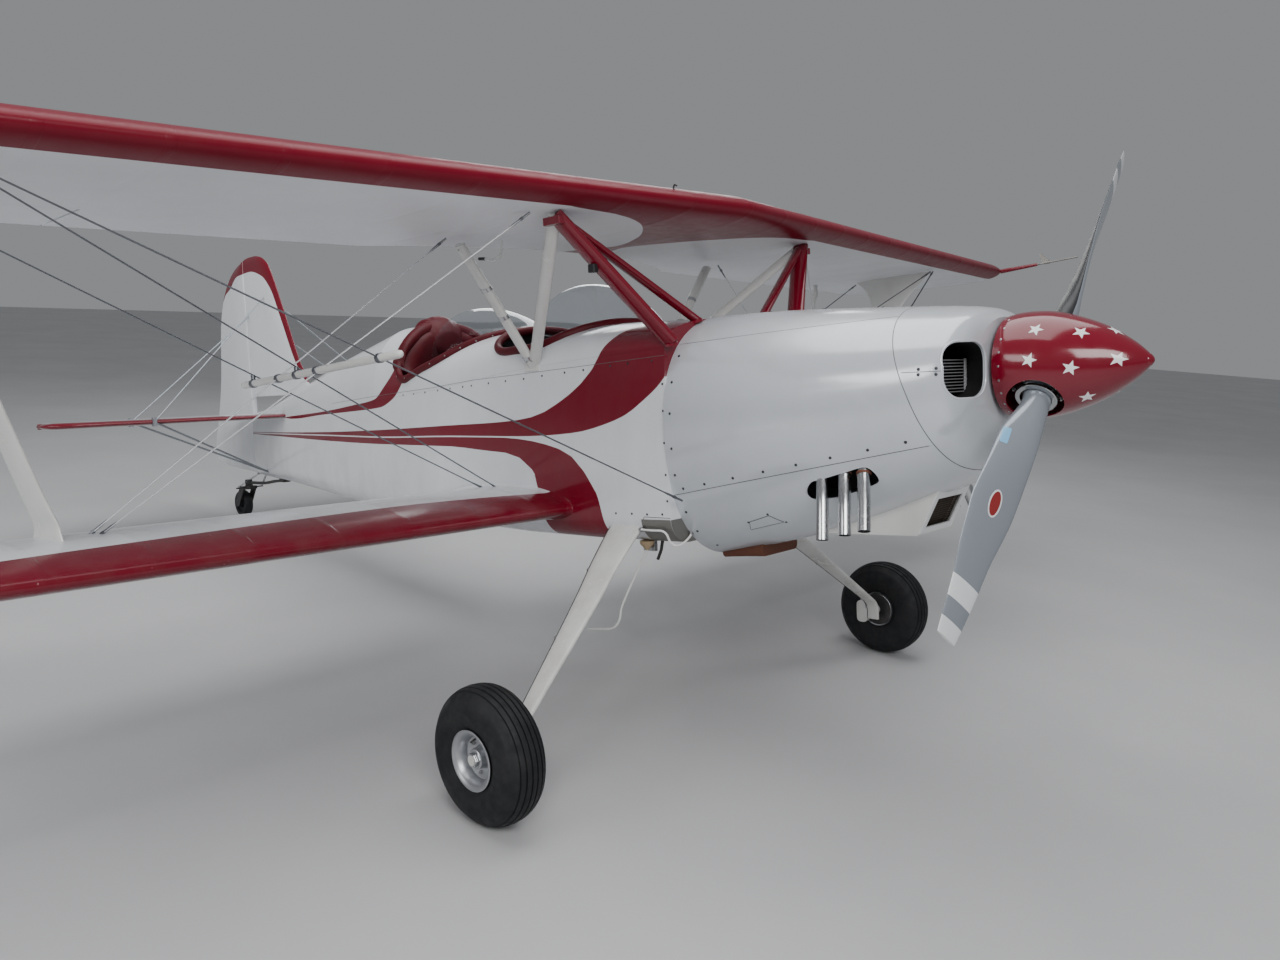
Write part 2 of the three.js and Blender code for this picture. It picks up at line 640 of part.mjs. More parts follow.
function makeWings() {
  const centre = loft([-UPPER.joint + GAP, 0, UPPER.joint - GAP].map((y) => wingRing(UPPER, y)));
  const { x: notchX, slope, half } = CENTRE_NOTCH;
  const arc = Array.from({ length: 17 }, (_, i) => {
    const across = (i / 8 - 1) * 1.25;
    return [notchX - slope * across ** 2, half * across];
  });
  const notch = loft([1800, 2200].map((z) => [...arc, [-1400, 1.25 * half], [-1400, -1.25 * half]]
    .map(([x, y]) => [x, y, z])));
  const panels = { centre: centre.subtract(notch) };
  for (const [name, side] of SIDES) {
    panels[`upper_${name}`] = wingPanel(UPPER, UPPER.joint + GAP, UPPER.tip, side, true).subtract(notch);
    panels[`lower_${name}`] = wingPanel(LOWER, LOWER.root, LOWER.tip, side, true);
  }
  return panels;
}

function splitAileron(panel, aileron, side) {
  const { inner, outer } = aileron;
  const bay = hingeRegion(aileron, side * inner, side * outer, HINGE_GAP);
  const inside = hingeRegion(aileron, side * (inner + HINGE_GAP), side * (outer - HINGE_GAP), 0);
  return { wing: panel.subtract(bay), flap: panel.intersect(inside) };
}

// Struts

function makeCabane(side) {
  const p = (key) => onSide(CABANE[key], side);
  const frontPlate = box([-125, side > 0 ? 742 : -782, 1972], [-40, side > 0 ? 782 : -742, 2016]);
  return join(
    strut(p('rearTop'), p('apex'), 52, 34), strut(p('frontTop'), p('apex'), 52, 34),
    strut(p('frontTop'), p('thickFoot'), 82, 40), strut(p('frontTop'), p('thinFoot'), 46, 28),
    frontPlate,
    box([-700, side > 0 ? 386 : -416, 1478], [-610, side > 0 ? 416 : -386, 1512]));
}

function makeInterplane(side) {
  const i = INTERPLANE;
  const foot = (x, z) => [x, side * i.footY, z];
  const top = (x, z) => [x, side * i.topY, z];
  const spine = strut(foot(-870, 1040), top(-590, 1930), 190, 34);
  const plate = (a, b, c, d) => {
    const points = [a, b, c, d];
    const half = 12;
    return loft([-half, half].map((dy) => points.map(([x, y, z]) => [x, y + dy, z])));
  };
  const lower = plate(foot(i.footFront, 960), foot(i.footRear, 930), foot(-950, 1170), foot(-712, 1170));
  const upper = plate(top(i.topFront, 2030), top(i.topRear, 2010), top(-700, 1810), top(-500, 1810));
  return join(spine, lower, upper);
}

function wire(from, to) {
  return bar(from, to, WIRE_RADIUS, WIRE_RADIUS, 6);
}

// Landing gear

const LEG_FOOT_Y = 1162;
const AXLE_END_Y = 1338;

function makeLeg(side) {
  // Spring leaf stations: centre x, y, z, chord, thickness
  const stations = [
    [-168, 330, 876, 172, 25], [-153, 400, 841, 166, 25], [-110, 560, 732, 141, 24], [-70, 700, 624, 119, 24],
    [-24, 900, 468, 90, 22], [20, 1100, 312, 64, 20], [27, 1148, 272, 62, 20], [30, 1162, 236, 62, 20],
    [30, 1162, AXLE_Z - 42, 62, 20],
  ];
  const rings = stations.map(([x, y, z, chord, thickness], i) => {
    const before = stations[Math.max(i - 1, 0)];
    const after = stations[Math.min(i + 1, stations.length - 1)];
    const run = new THREE.Vector2(after[1] - before[1], after[2] - before[2]).normalize();
    const normal = [-run.y, run.x];
    return [[1, 1], [1, -1], [-1, -1], [-1, 1]].map(([fore, up]) => [
      x + fore * chord / 2, side * (y + normal[0] * up * thickness / 2), z + normal[1] * up * thickness / 2]);
  });
  const [inner, outer] = [LEG_FOOT_Y, AXLE_END_Y].map((y) => [AXLE.x, side * y, AXLE_Z]);
  const axle = bar(inner, outer, AXLE.radius, AXLE.radius, 20);
  const caliper = box([AXLE.x - 72, side > 0 ? 1154 : -1192, AXLE_Z - 28],
    [AXLE.x - 26, side > 0 ? 1192 : -1154, AXLE_Z + 28]);
  return join(loft(rings), axle, caliper);
}

function makeTyre(side) {
  const profile = [[86, -58], [112, -72], [160, -79], [196, -72], [220, -48], [229, -22], [231, 0],
    [229, 22], [220, 48], [196, 72], [160, 79], [112, 72], [86, 58], [80.8, 50], [80.8, -50], [86, -58]];
  return turned(profile, [AXLE.x, side * TRACK_HALF, AXLE_Z], [0, 1, 0], 36);
}

function makeWheel(side) {
  const inner = AXLE.radius + 0.6;
  const profile = [[inner, -40], [34, -40], [36, -66], [72, -66], [76, -60], [84.8, -63], [84.8, -58], [79.4, -49.2],
    [79.4, 49.2], [84.8, 58], [84.8, 63], [76, 63], [70, 34], [40, 22], [34, 58], [inner, 58], [inner, -40]];
  return turned(profile.map(([r, d]) => [r, side * d]), [AXLE.x, side * TRACK_HALF, AXLE_Z], [0, 1, 0], 26);
}

// Tail

function finOutline() {
  return [[-3290, 1440], [-3340, 1560], [-3403, 1643], [-3530, 1905], [-3640, 2130], [-3732, 2290], [-3810, 2350],
    [-3900, 2376], [-3990, 2378], [RUDDER_HINGE_X + 26, 2366], [RUDDER_HINGE_X + 26, 1290], [-3700, 1290]];
}

function rudderOutline() {
  const h = RUDDER_HINGE_X;
  return [[h, 2362], [-4190, 2332], [-4310, 2262], [-4409, 2160], [-4500, 1960], [-4571, 1573], [-4660, 1290],
    [-4735, 1120], [-4746, 1020], [-4690, 975], [h, 912]];
}

function makeRudder() {
  const plate = upright(rudderOutline(), FIN_THICKNESS - 2, 10);
  return plate.add(bar([RUDDER_HINGE_X, 0, 916], [RUDDER_HINGE_X, 0, 2354], 17, 17, 14));
}

function stabiliserOutline(side) {
  return [[-3346, 60], [-3500, 640], [-3600, 1050], [-3660, 1250], [-3740, 1370], [-3800, 1400],
    [ELEVATOR_HINGE_X + 24, 1400], [ELEVATOR_HINGE_X + 24, 20], [-3500, 20]].map(([x, y]) => [x, side * y]);
}

function elevatorOutline(side) {
  const h = ELEVATOR_HINGE_X;
  return [[h, 72], [h, 1394], [-3985, 1376], [-4080, 1310], [-4160, 1200], [-4230, 1000], [-4290, 700],
    [-4320, 400], [-4320, 215], [-4120, 72]].map(([x, y]) => [x, side * y]);
}

function makeElevators() {
  const h = ELEVATOR_HINGE_X;
  const halves = SIDES.map(([, side]) => level(elevatorOutline(side), TAIL_THICKNESS - 2, 10, STABILISER_Z));
  const tube = bar([h, -1390, STABILISER_Z], [h, 1390, STABILISER_Z], 16, 16, 14);
  return join(...halves, tube);
}

// Cockpits

// A curved screen round the front of a cockpit: an arched shell that stands on the rim and leans back.
function makeScreen({ cockpit, start, length, crown }) {
  const wall = 4;
  const foot = deckHeight(start, 0) + 22;
  const arch = (inset) => [0, 1, 2, 3, 4].map((row) => {
    const t = row / 4;
    const x = start - length * t;
    const half = cockpitHalf(cockpit, x) - inset;
    const base = deckHeight(x, half) + 1.5;
    const top = foot + (crown - foot) * Math.sin(t * Math.PI / 2) ** 1.2 - inset;
    return Array.from({ length: 11 }, (_, i) => {
      const angle = (i / 10 - 0.5) * Math.PI;
      return [x - (inset ? wall : 0), half * Math.sin(angle), base + (top - base) * Math.cos(angle) ** 0.88];
    });
  });
  const inside = arch(wall);
  const closed = arch(0).map((ring, r) => [...ring, ...inside[r].reverse().map(([, y, z]) => [ring[0][0], y, z])]);
  return loft(closed);
}

// The headrest: a rounded cushion on the end of the turtledeck, and the thick pad along the cockpit's aft edge.
const CUSHION = [
  // x, half width, lowest and highest point
  [-1990, 104, 1690, 1778], [-1950, 130, 1640, 1808], [-1880, 136, 1600, 1812], [-1822, 118, 1592, 1780],
  [-1784, 78, 1615, 1735],
];

function makeHeadrest() {
  const cushion = loft(CUSHION.map(([x, half, low, high]) => Array.from({ length: 16 }, (_, i) => {
    const angle = i / 16 * 2 * Math.PI;
    const [c, v] = [Math.cos(angle), Math.sin(angle)];
    return [x, half * Math.sign(c) * Math.abs(c) ** 0.85,
      (low + high) / 2 + (high - low) / 2 * Math.sign(v) * Math.abs(v) ** 0.85];
  })));
  const pad = rimRun(COCKPITS.rear, RIM.aftFirst - 1, RIM.points - RIM.aftFirst + 1, RIM.padRadius);
  return cushion.add(loft(pad));
}

function makeSeat(x, floor) {
  const width = 225;
  const profile = [[x + 150, floor + 175], [x - 190, floor + 130], [x - 262, floor + 540], [x - 316, floor + 540],
    [x - 252, floor + 60], [x + 150, floor + 120]];
  return loft([-width, width].map((y) => profile.map(([px, pz]) => [px, y, pz])));
}

function makePanel(x) {
  const s = stationAt(x);
  const ring = (px) => deckRing({ ...s, x: px }, DECK_WALL + GAP + 1, s.longeron - 40);
  const plate = loft([ring(x), ring(x - 8)]);
  const half = s.half - FUSELAGE_WALL - 3;
  return plate.intersect(box([x - 30, -half, s.longeron - 60], [x + 30, half, s.deck]));
}

function makeSticks() {
  const z = BAY.floor + 26;
  const tube = bar([-470, 0, z], [-1400, 0, z], 14, 14, 12);
  const sticks = [-505, -1345].map((x) => bar([x, 0, z], [x - 20, 0, z + 440], 12, 12, 10));
  const feet = [-490, -1375].map((x) => box([x - 25, -40, BAY.floor + GAP], [x + 25, 40, z]));
  return join(tube, ...sticks, ...feet);
}

// Tail gear

function makeTailSpring() {
  const path = [[-3690, 872], [-3850, 862], [-4010, 842], [-4180, 838], [-4262, 838]];
  const width = 34;
  const leaf = loft(path.map(([x, z]) => [[x, -width / 2, z - 9], [x, width / 2, z - 9],
    [x, width / 2, z + 9], [x, -width / 2, z + 9]]));
  return leaf.add(box([-3760, -24, 860], [-3700, 24, 892])).add(bar([-4268, 0, 822], [-4268, 0, 858], 24, 24, 16));
}

const SWIVEL_X = -4268;

function makeFork() {
  const head = bar([SWIVEL_X, 0, 790], [SWIVEL_X, 0, 821], 26, 26, 16);
  const crown = box([-4312, -48, 792], [-4244, 48, 812]);
  const arms = [1, -1].map((side) => loft([-4, 4].map((dy) => [[-4244, 44 * side + dy, 812], [-4312, 44 * side + dy, 812],
    [-4392, 44 * side + dy, TAILWHEEL_Z + 18], [-4392, 44 * side + dy, TAILWHEEL_Z - 18], [-4350, 44 * side + dy, TAILWHEEL_Z - 18]])));
  const axle = bar([TAILWHEEL.x, -47, TAILWHEEL_Z], [TAILWHEEL.x, 47, TAILWHEEL_Z], 8, 8, 12);
  const horns = box([-4270, -95, 800], [-4250, 95, 808]);
  return join(head, crown, ...arms, axle, horns);
}

function makeTailwheel() {
  const r = TAILWHEEL.radius;
  const profile = [[8.6, -30], [24, -30], [28, -15], [58, -15], [62, -28], [84, -28], [r, -8], [r, 8],
    [84, 28], [62, 28], [58, 15], [28, 15], [24, 30], [8.6, 30], [8.6, -30]];
  return turned(profile, [TAILWHEEL.x, 0, TAILWHEEL_Z], [0, 1, 0], 24);
}

function makeTailBrace(side) {
  const finPoint = [-3800, side * 12, 2100];
  const aftFinPoint = [-4030, side * 12, 1990];
  const foot = [-3800, side * 70, 930];
  const frontLug = [-3560, side * 870, STABILISER_Z];
  const rearLug = [-3850, side * 900, STABILISER_Z];
  const lug = (p) => box([p[0] - 16, p[1] - 10, p[2] - 26], [p[0] + 16, p[1] + 10, p[2] + 26]);
  return join(lug(frontLug), lug(rearLug), wire(finPoint, frontLug), wire(aftFinPoint, rearLug),
    strut(frontLug, foot, 22, 12), strut(rearLug, foot, 22, 12), wire(frontLug, rearLug));
}

// Bracing of one wing cell: flying wires from the root, landing wires from the cabane, clamped to a javelin.
const WIRES = [
  // from, to: front, diagonal and rear flying wires, then front and rear landing wires
  [[150, 404, 965], [-305, 2520, 2020]],
  [[-912, 403, 958], [-320, 2520, 2020]],
  [[-1022, 403, 958], [-840, 2520, 1992]],
  [[-800, 2119, 985], [-114, 849, 2012]],
  [[-833, 2137, 985], [-628, 835, 1992]],
];

function makeWires(side) {
  const { y, front, rear, radius } = JAVELIN;
  const at = (x) => onSide([x, y, rear[1] + (x - rear[0]) / (front[0] - rear[0]) * (front[1] - rear[1])], side);
  const pieces = [bar(at(front[0]), at(rear[0]), radius, radius, 12)];
  for (const [from, to] of WIRES) {
    const t = (y - from[1]) / (to[1] - from[1]);
    const crossing = onSide(from.map((v, axis) => v + (to[axis] - v) * t), side);
    pieces.push(wire(onSide(from, side), onSide(to, side)), bar(crossing, at(crossing[0]), 9, 9, 8));
  }
  return join(...pieces);
}

// The pressure boom ahead of the port upper wing tip.
function makePitot() {
  const y = 3590;
  const root = [UPPER.leX - UPPER.sweep * y - 12, y, UPPER.z + UPPER.dihedral * y - 2];
  const along = (reach) => [root[0] + reach, y, root[2] + reach * 0.075];
  const boom = bar(root, along(250), 13, 10, 12);
  const tube = bar(along(240), along(515), 6, 6, 10);
  const fin = upright([[root[0] + 285, root[2] + 18], [root[0] + 345, root[2] + 22], [root[0] + 275, root[2] + 92],
    [root[0] + 262, root[2] + 92]].map(([x, z]) => [x, z]), 5, 1);
  return cutClear(join(boom, tube, fin.translate([0, y, 0])),
    wingPanel(UPPER, UPPER.joint + GAP, UPPER.tip, 1, true));
}

// The rod that ties an upper aileron to the lower one. It hangs from a pin through the upper aileron's lug,
// and its lower fork stands over the lower aileron's lug.
const ROD = {
  y: 2500, upperBack: 164, lowerBack: 135, upperDrop: 62, lowerRise: 58, pin: 5, lug: 13, cheek: 5, lowerPlay: 9,
};
const SWEEP_ANGLE = Math.atan(UPPER.sweep);

function rodEnds() {
  const upper = aileronHinge(AILERONS.upper, ROD.y);
  const lower = aileronHinge(AILERONS.lower, ROD.y);
  return {
    top: [upper.x - ROD.upperBack, upper.z - ROD.upperDrop],
    low: [lower.x - ROD.lowerBack, lower.z + ROD.lowerRise],
  };
}

// A flat eye: a round boss on the pin's axis with a tongue that runs to a point, made at the origin.
function eye(toX, toZ, width, thickness, radius) {
  const boss = bar([0, -thickness / 2, 0], [0, thickness / 2, 0], radius, radius, 12);
  const run = new THREE.Vector2(toX, toZ);
  const across = new THREE.Vector2(-run.y, run.x).setLength(width / 2);
  const corners = [[across.x, across.y], [run.x + across.x, run.y + across.y],
    [run.x - across.x, run.y - across.y], [-across.x, -across.y]];
  return boss.add(loft([-thickness / 2, thickness / 2].map((y) => corners.map(([x, z]) => [x, y, z]))));
}

// Turned to lie across the swept hinge line, then set at its pin.
function setAtPin(solid, turn, point) {
  const c = Math.cos(turn);
  const v = Math.sin(turn);
  return solid.transform([c, v, 0, 0, -v, c, 0, 0, 0, 0, 1, 0, ...point, 1]);
}

function makeAileronRod(side) {
  const { top, low } = rodEnds();
  const turn = side * SWEEP_ANGLE;
  const y = side * ROD.y;
  const lugHalf = 4;
  const play = ROD.lowerPlay + lugHalf + ROD.cheek / 2;
  const upperCheek = lugHalf + GAP + ROD.cheek / 2;
  const drop = top[1] - low[1];
  const cheek = (toZ) => eye(0, toZ, 18, ROD.cheek, 11);
  const pinPoint = [top[0], y, top[1]];
  const upperFork = [1, -1].map((s) => setAtPin(cheek(-60).translate([0, s * upperCheek, 0]), turn, pinPoint));
  const pin = setAtPin(bar([0, -upperCheek - 6, 0], [0, upperCheek + 6, 0], ROD.pin, ROD.pin, 12), turn, pinPoint);
  const lowerFork = [1, -1].map((s) => cheek(60).translate([low[0], y + s * play, low[1]]));
  const lean = (top[0] - low[0]) / drop;
  const yokes = [box([top[0] - 11 - 50 * lean, y - 14, top[1] - 66], [top[0] + 11 - 50 * lean, y + 14, top[1] - 40]),
    box([low[0] - 11 + 50 * lean, y - play - 3, low[1] + 40], [low[0] + 11 + 50 * lean, y + play + 3, low[1] + 66])];
  const shank = strut([low[0] + 50 * lean, y, low[1] + 50], [top[0] - 50 * lean, y, top[1] - 50], 30, 18);
  return join(...upperFork, pin, ...lowerFork, ...yokes, shank);
}

function makeLugs(side) {
  const { top, low } = rodEnds();
  const y = side * ROD.y;
  const hole = bar([0, -20, 0], [0, 20, 0], ROD.pin + GAP, ROD.pin + GAP, 12);
  const upper = eye(0, ROD.upperDrop - 8, 30, 8, ROD.lug).subtract(hole);
  const lower = eye(0, 8 - ROD.lowerRise, 30, 8, ROD.lug);
  return {
    upper: setAtPin(upper, side * SWEEP_ANGLE, [top[0], y, top[1]]),
    lower: lower.translate([low[0], y, low[1]]),
  };
}

// Assembly

const { outer: hull, hollow: shell } = makeHull();
const tubeTunnel = bar([ELEVATOR_HINGE_X, -120, STABILISER_Z], [ELEVATOR_HINGE_X, 120, STABILISER_Z], 23, 23, 16);
const turtle = makeTurtledeck();
const { outer: deckOuter, open: deck } = makeDeck();
place('fuselage', shell.subtract(tubeTunnel), 'white');
place('turtledeck', turtle.subtract(tubeTunnel), 'white');

place('coaming_front', makeFrontRim(0), 'leather');
const rimRoom = join(makeFrontRim(GAP), makeRearRim(GAP));

const cabanes = SIDES.map(([name, side]) => [name, makeCabane(side)]);
const stubs = join(...cabanes.map(([, solid]) => solid));
const deckShell = cutClear(deck, stubs).subtract(rimRoom);
const aftOfCockpit = box([DECK_SPLIT_X - 100, -400, 1300], [COCKPITS.rear.aft + 8, 400, 1900]);
const deckBacked = join(deckShell, turtle, deckOuter.intersect(aftOfCockpit));
const cushion = makeHeadrest();
place('forward_deck', deckShell, 'white');
place('headrest', cutClear(cushion, deckBacked), 'leather');
place('coaming_rear', cutClear(makeRearRim(0), cushion), 'leather');

const cowl = makeCowl();
const cowlSolid = join(cowl.bowl, cowl.lower, cowl.upper);
const panels = makeWings();
for (const [name, solid] of cabanes) {
  let clear = cutClear(solid, hull);
  clear = cutClear(clear, cowlSolid);
  clear = cutClear(clear, panels.centre);
  clear = cutClear(clear, panels[`upper_${name}`]);
  place(`cabane_${name}`, clear, 'red');
}
place('cowl_upper', cowl.upper, 'silver');
place('cowl_lower', cowl.lower, 'silver');
place('nose_bowl', cowl.bowl, 'silver');
const cowlOuter = loft(COWL.map((station) => cowlRing(station, 0)));
place('intake_scoop', makeScoop(cowlOuter), 'white');
place('engine', makeEngine(), 'iron');
for (const [name, side] of SIDES) place(`exhaust_${name}`, makeExhaust(side), 'steel');

place('spinner', makeSpinner(), 'red');
place('prop_hub', makeHub(), 'steel');
place('prop_blade_lower', makeBlade(1), 'alloy');
place('prop_blade_upper', makeBlade(-1), 'alloy');

place('upper_wing_centre', panels.centre, 'red');
for (const [name, side] of SIDES) {
  const upper = splitAileron(panels[`upper_${name}`], AILERONS.upper, side);
  const lower = splitAileron(cutClear(panels[`lower_${name}`], hull), AILERONS.lower, side);
  place(`upper_wing_${name}`, upper.wing, 'white');
  const lugs = makeLugs(side);
  place(`upper_aileron_${name}`, upper.flap.add(lugs.upper), 'white');
  place(`lower_wing_${name}`, lower.wing, 'white');
  place(`lower_aileron_${name}`, lower.flap.add(lugs.lower), 'white');
  place(`aileron_rod_${name}`, makeAileronRod(side), 'white');
  const interplane = makeInterplane(side);
  place(`interplane_strut_${name}`, cutClear(cutClear(interplane, panels[`upper_${name}`]), panels[`lower_${name}`]), 'white');
}

for (const [name, side] of SIDES) {
  place(`gear_leg_${name}`, cutClear(makeLeg(side), hull), 'white');
  place(`wheel_${name}`, makeWheel(side), 'alloy');
  place(`tyre_${name}`, makeTyre(side), 'rubber');
}

place('tail_spring', cutClear(makeTailSpring(), hull), 'black');
place('tailwheel_fork', makeFork(), 'black');
place('tailwheel', makeTailwheel(), 'rubber');

const SCREENS = {
  front: { cockpit: COCKPITS.front, start: -438, length: 226, crown: 1860 },
  rear: { cockpit: COCKPITS.rear, start: -1160, length: 300, crown: 1822 },
};
for (const [name, screen] of Object.entries(SCREENS)) {
  place(`windscreen_${name}`, makeScreen(screen).subtract(rimRoom), 'glass');
}
place('seat_front', makeSeat(-715, BAY.floor), 'leather');
place('seat_rear', makeSeat(-1600, BAY.floor), 'leather');
place('panel_front', makePanel(-400), 'black');
place('panel_rear', makePanel(-1118), 'black');
place('control_sticks', makeSticks(), 'black');

const finClear = cutClear(cutClear(upright(finOutline(), FIN_THICKNESS, 10), turtle), hull);
place('fin', finClear, 'white');
place('rudder', makeRudder(), 'white');
for (const [name, side] of SIDES) {
  const tailRoot = join(hull, turtle, finClear);
  const brace = cutClear(makeTailBrace(side), tailRoot);
  const plate = level(stabiliserOutline(side), TAIL_THICKNESS, 10, STABILISER_Z);
  place(`stabiliser_${name}`, cutClear(cutClear(plate, tailRoot), brace), 'white');
  place(`tail_brace_${name}`, brace, 'steel');
}
place('elevators', makeElevators(), 'white');

for (const [name, side] of SIDES) {
  const upperWing = join(panels.centre, panels[`upper_${name}`]);
  const wires = cutClear(makeWires(side), join(hull, deckOuter, cowlOuter));
  place(`wing_wires_${name}`, cutClear(cutClear(wires, upperWing), panels[`lower_${name}`]), 'steel');
}
place('pitot_boom', makePitot(), 'red');

// The origin is on the floor, under the middle of the whole aeroplane.
aeroplane.updateMatrixWorld(true);
const extent = new THREE.Box3().setFromObject(aeroplane, true);
aeroplane.position.set(-(extent.min.x + extent.max.x) / 2, -(extent.min.y + extent.max.y) / 2, -extent.min.z);

// Joint axes, each a point and a direction, carried from the level frame into the parked one.
const flapAxis = (aileron, side) => {
  const [a, b] = [aileron.inner, aileron.outer].map((y) => ({ ...aileronHinge(aileron, y), y: side * y }));
  return [[a.x, a.y, a.z], [b.x - a.x, b.y - a.y, b.z - a.z]];
};
const levelAxes = {
  propeller: [[PROP.x, 0, PROP.z], [1, 0, 0]],
  left_wheel: [[AXLE.x, TRACK_HALF, AXLE_Z], [0, 1, 0]],
  right_wheel: [[AXLE.x, -TRACK_HALF, AXLE_Z], [0, 1, 0]],
  tailwheel_swivel: [[SWIVEL_X, 0, 820], [0, 0, 1]],
  tailwheel: [[TAILWHEEL.x, 0, TAILWHEEL_Z], [0, 1, 0]],
  rudder: [[RUDDER_HINGE_X, 0, 1300], [0, 0, 1]],
  elevators: [[ELEVATOR_HINGE_X, 0, STABILISER_Z], [0, 1, 0]],
  upper_left_aileron: flapAxis(AILERONS.upper, 1),
  upper_right_aileron: flapAxis(AILERONS.upper, -1),
  lower_left_aileron: flapAxis(AILERONS.lower, 1),
  lower_right_aileron: flapAxis(AILERONS.lower, -1),
  left_aileron_rod: [[rodEnds().top[0], ROD.y, rodEnds().top[1]], flapAxis(AILERONS.upper, 1)[1]],
  right_aileron_rod: [[rodEnds().top[0], -ROD.y, rodEnds().top[1]], flapAxis(AILERONS.upper, -1)[1]],
};
aeroplane.updateMatrixWorld(true);
export const jointAxes = Object.fromEntries(Object.entries(levelAxes).map(([name, [point, direction]]) => [name, {
  point: aeroplane.localToWorld(new THREE.Vector3(...point)).toArray(),
  axis: new THREE.Vector3(...direction).transformDirection(aeroplane.matrixWorld).toArray(),
}]));

const biplane = new THREE.Group();
biplane.add(aeroplane);

export default biplane;
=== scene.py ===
"""Looks of a parked two-seat biplane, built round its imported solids.

Shapes are drawn in the fuselage's level frame in millimetres, +X to the nose and +Y to port, and then
set into the row frame, where the aeroplane sits nose up on its three tyres.
"""
import math

import bmesh
import bpy
import numpy as np
from mathutils import Matrix, Vector


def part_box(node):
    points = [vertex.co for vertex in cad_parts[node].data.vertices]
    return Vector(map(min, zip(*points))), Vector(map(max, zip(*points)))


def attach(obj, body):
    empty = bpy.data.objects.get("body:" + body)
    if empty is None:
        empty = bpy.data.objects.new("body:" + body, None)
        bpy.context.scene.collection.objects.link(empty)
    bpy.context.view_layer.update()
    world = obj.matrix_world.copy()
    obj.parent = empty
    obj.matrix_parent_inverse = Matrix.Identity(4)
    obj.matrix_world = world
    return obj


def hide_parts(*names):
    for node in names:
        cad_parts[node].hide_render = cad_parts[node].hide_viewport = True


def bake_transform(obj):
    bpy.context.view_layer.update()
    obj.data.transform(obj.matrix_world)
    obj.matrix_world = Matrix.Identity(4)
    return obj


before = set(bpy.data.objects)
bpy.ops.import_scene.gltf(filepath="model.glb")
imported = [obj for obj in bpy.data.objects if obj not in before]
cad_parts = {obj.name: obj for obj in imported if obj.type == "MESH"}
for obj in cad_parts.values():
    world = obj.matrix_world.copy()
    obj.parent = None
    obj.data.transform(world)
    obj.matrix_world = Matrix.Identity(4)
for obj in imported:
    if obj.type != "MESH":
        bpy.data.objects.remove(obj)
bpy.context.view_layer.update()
SIDES = (("left", 1), ("right", -1))

# Level frame
ATTITUDE = math.radians(7.6)
COS, SIN = math.cos(ATTITUDE), math.sin(ATTITUDE)
TYRE_RADIUS = 231
AXLE_X = 30
AXLE_Z = (TYRE_RADIUS - AXLE_X * SIN) / COS
TRACK_HALF = 1266
tyre_low, tyre_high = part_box("tyre_left")
ORIGIN_X = (tyre_low.x + tyre_high.x) / 2 - (AXLE_X * COS - AXLE_Z * SIN) / 1000
ORIGIN_Z = (tyre_low.z + tyre_high.z) / 2 - (AXLE_X * SIN + AXLE_Z * COS) / 1000

# Fuselage: x, half width, belly, top longeron, deck crown
FUSELAGE = np.array([
    (90, 404, 792, 1535, 1650), (-350, 410, 776, 1514, 1668), (-800, 410, 770, 1484, 1672),
    (-1364, 386, 776, 1425, 1684), (-2040, 322, 793, 1377, 1768), (-2700, 240, 824, 1342, 1630),
    (-3300, 158, 860, 1318, 1478), (-3720, 98, 884, 1304, 1372), (-4058, 34, 905, 1294, 1326)], float)
BELLY_RADIUS = 105
FUSELAGE_WALL = 24
DECK_WALL = 12
DECK_SPLIT_X = -2040
FIREWALL_X = 90
BAY = (62, -2085, 850)          # fore, aft, floor
COCKPITS = {"front": (-430, -1030, 382), "rear": (-1150, -1925, 352)}   # fore, aft, half width
REAR_BOW = (66, 230)            # how far the rear one's aft edge bows forward at the ridge, and its swell beside it

# Cowl: x, half width, top, middle, bottom
COWL = np.array([
    (90.4, 424, 1660, 1250, 712), (400, 420, 1655, 1268, 785), (720, 404, 1638, 1295, 876),
    (1000, 380, 1620, 1335, 985), (1110, 364, 1610, 1362, 1042), (1160, 348, 1602, 1380, 1086),
    (1184, 322, 1592, 1392, 1135), (1200, 285, 1578, 1402, 1200), (1214, 205, 1568, 1409, 1246)], float)
COWL_WALL = 7
INLET = (258, 1403, 180, 170, 62)             # y, z, width, height, corner
STACK_SLOT = [(913, 1054), (892, 1103), (814, 1086), (729, 1061), (685, 1049), (657, 1019), (654, 997), (675, 983),
              (751, 992), (844, 1021)]        # x, z

# Propeller
PROP_X, PROP_Z, PROP_AZIMUTH, PROP_PITCH = 1342, 1409, math.radians(44), 1745
SPINNER_BACK = 1228
SPINNER = [(160, 0), (167, 32), (169, 82), (163, 142), (143, 212), (109, 292), (63, 362), (28, 402), (8, 418)]
BLADE = [   # radius, chord, thickness, shift of its middle towards the leading edge
    (119, 92, 92, 0), (175, 85, 80, 5), (260, 112, 56, -3), (305, 128, 48, -6), (360, 136, 40, -7),
    (435, 144, 33, -8), (562, 160, 25, -13), (640, 152, 22, -14), (742, 132, 17.5, -16), (838, 113, 14.5, -11),
    (930, 98, 12, -10), (1000, 84, 10, -11), (1018, 78, 9, -11)]

# Wings
UPPER = dict(le=210, z=2069, chord=1163, drop=55, sweep=0.1496, dihedral=0.005, root=762, tip=3680)
LOWER = dict(le=-452, z=896, chord=1100, drop=22, sweep=0.0, dihedral=0.0115, root=370, tip=3350)
HINGE_SHARE = 0.69
AILERON_SPAN = {"upper": (2040, 3400), "lower": (1900, 3090)}
HINGE_GAP = 7
RUDDER_HINGE_X, ELEVATOR_HINGE_X, STABILISER_Z = -4090, -3900, 1308


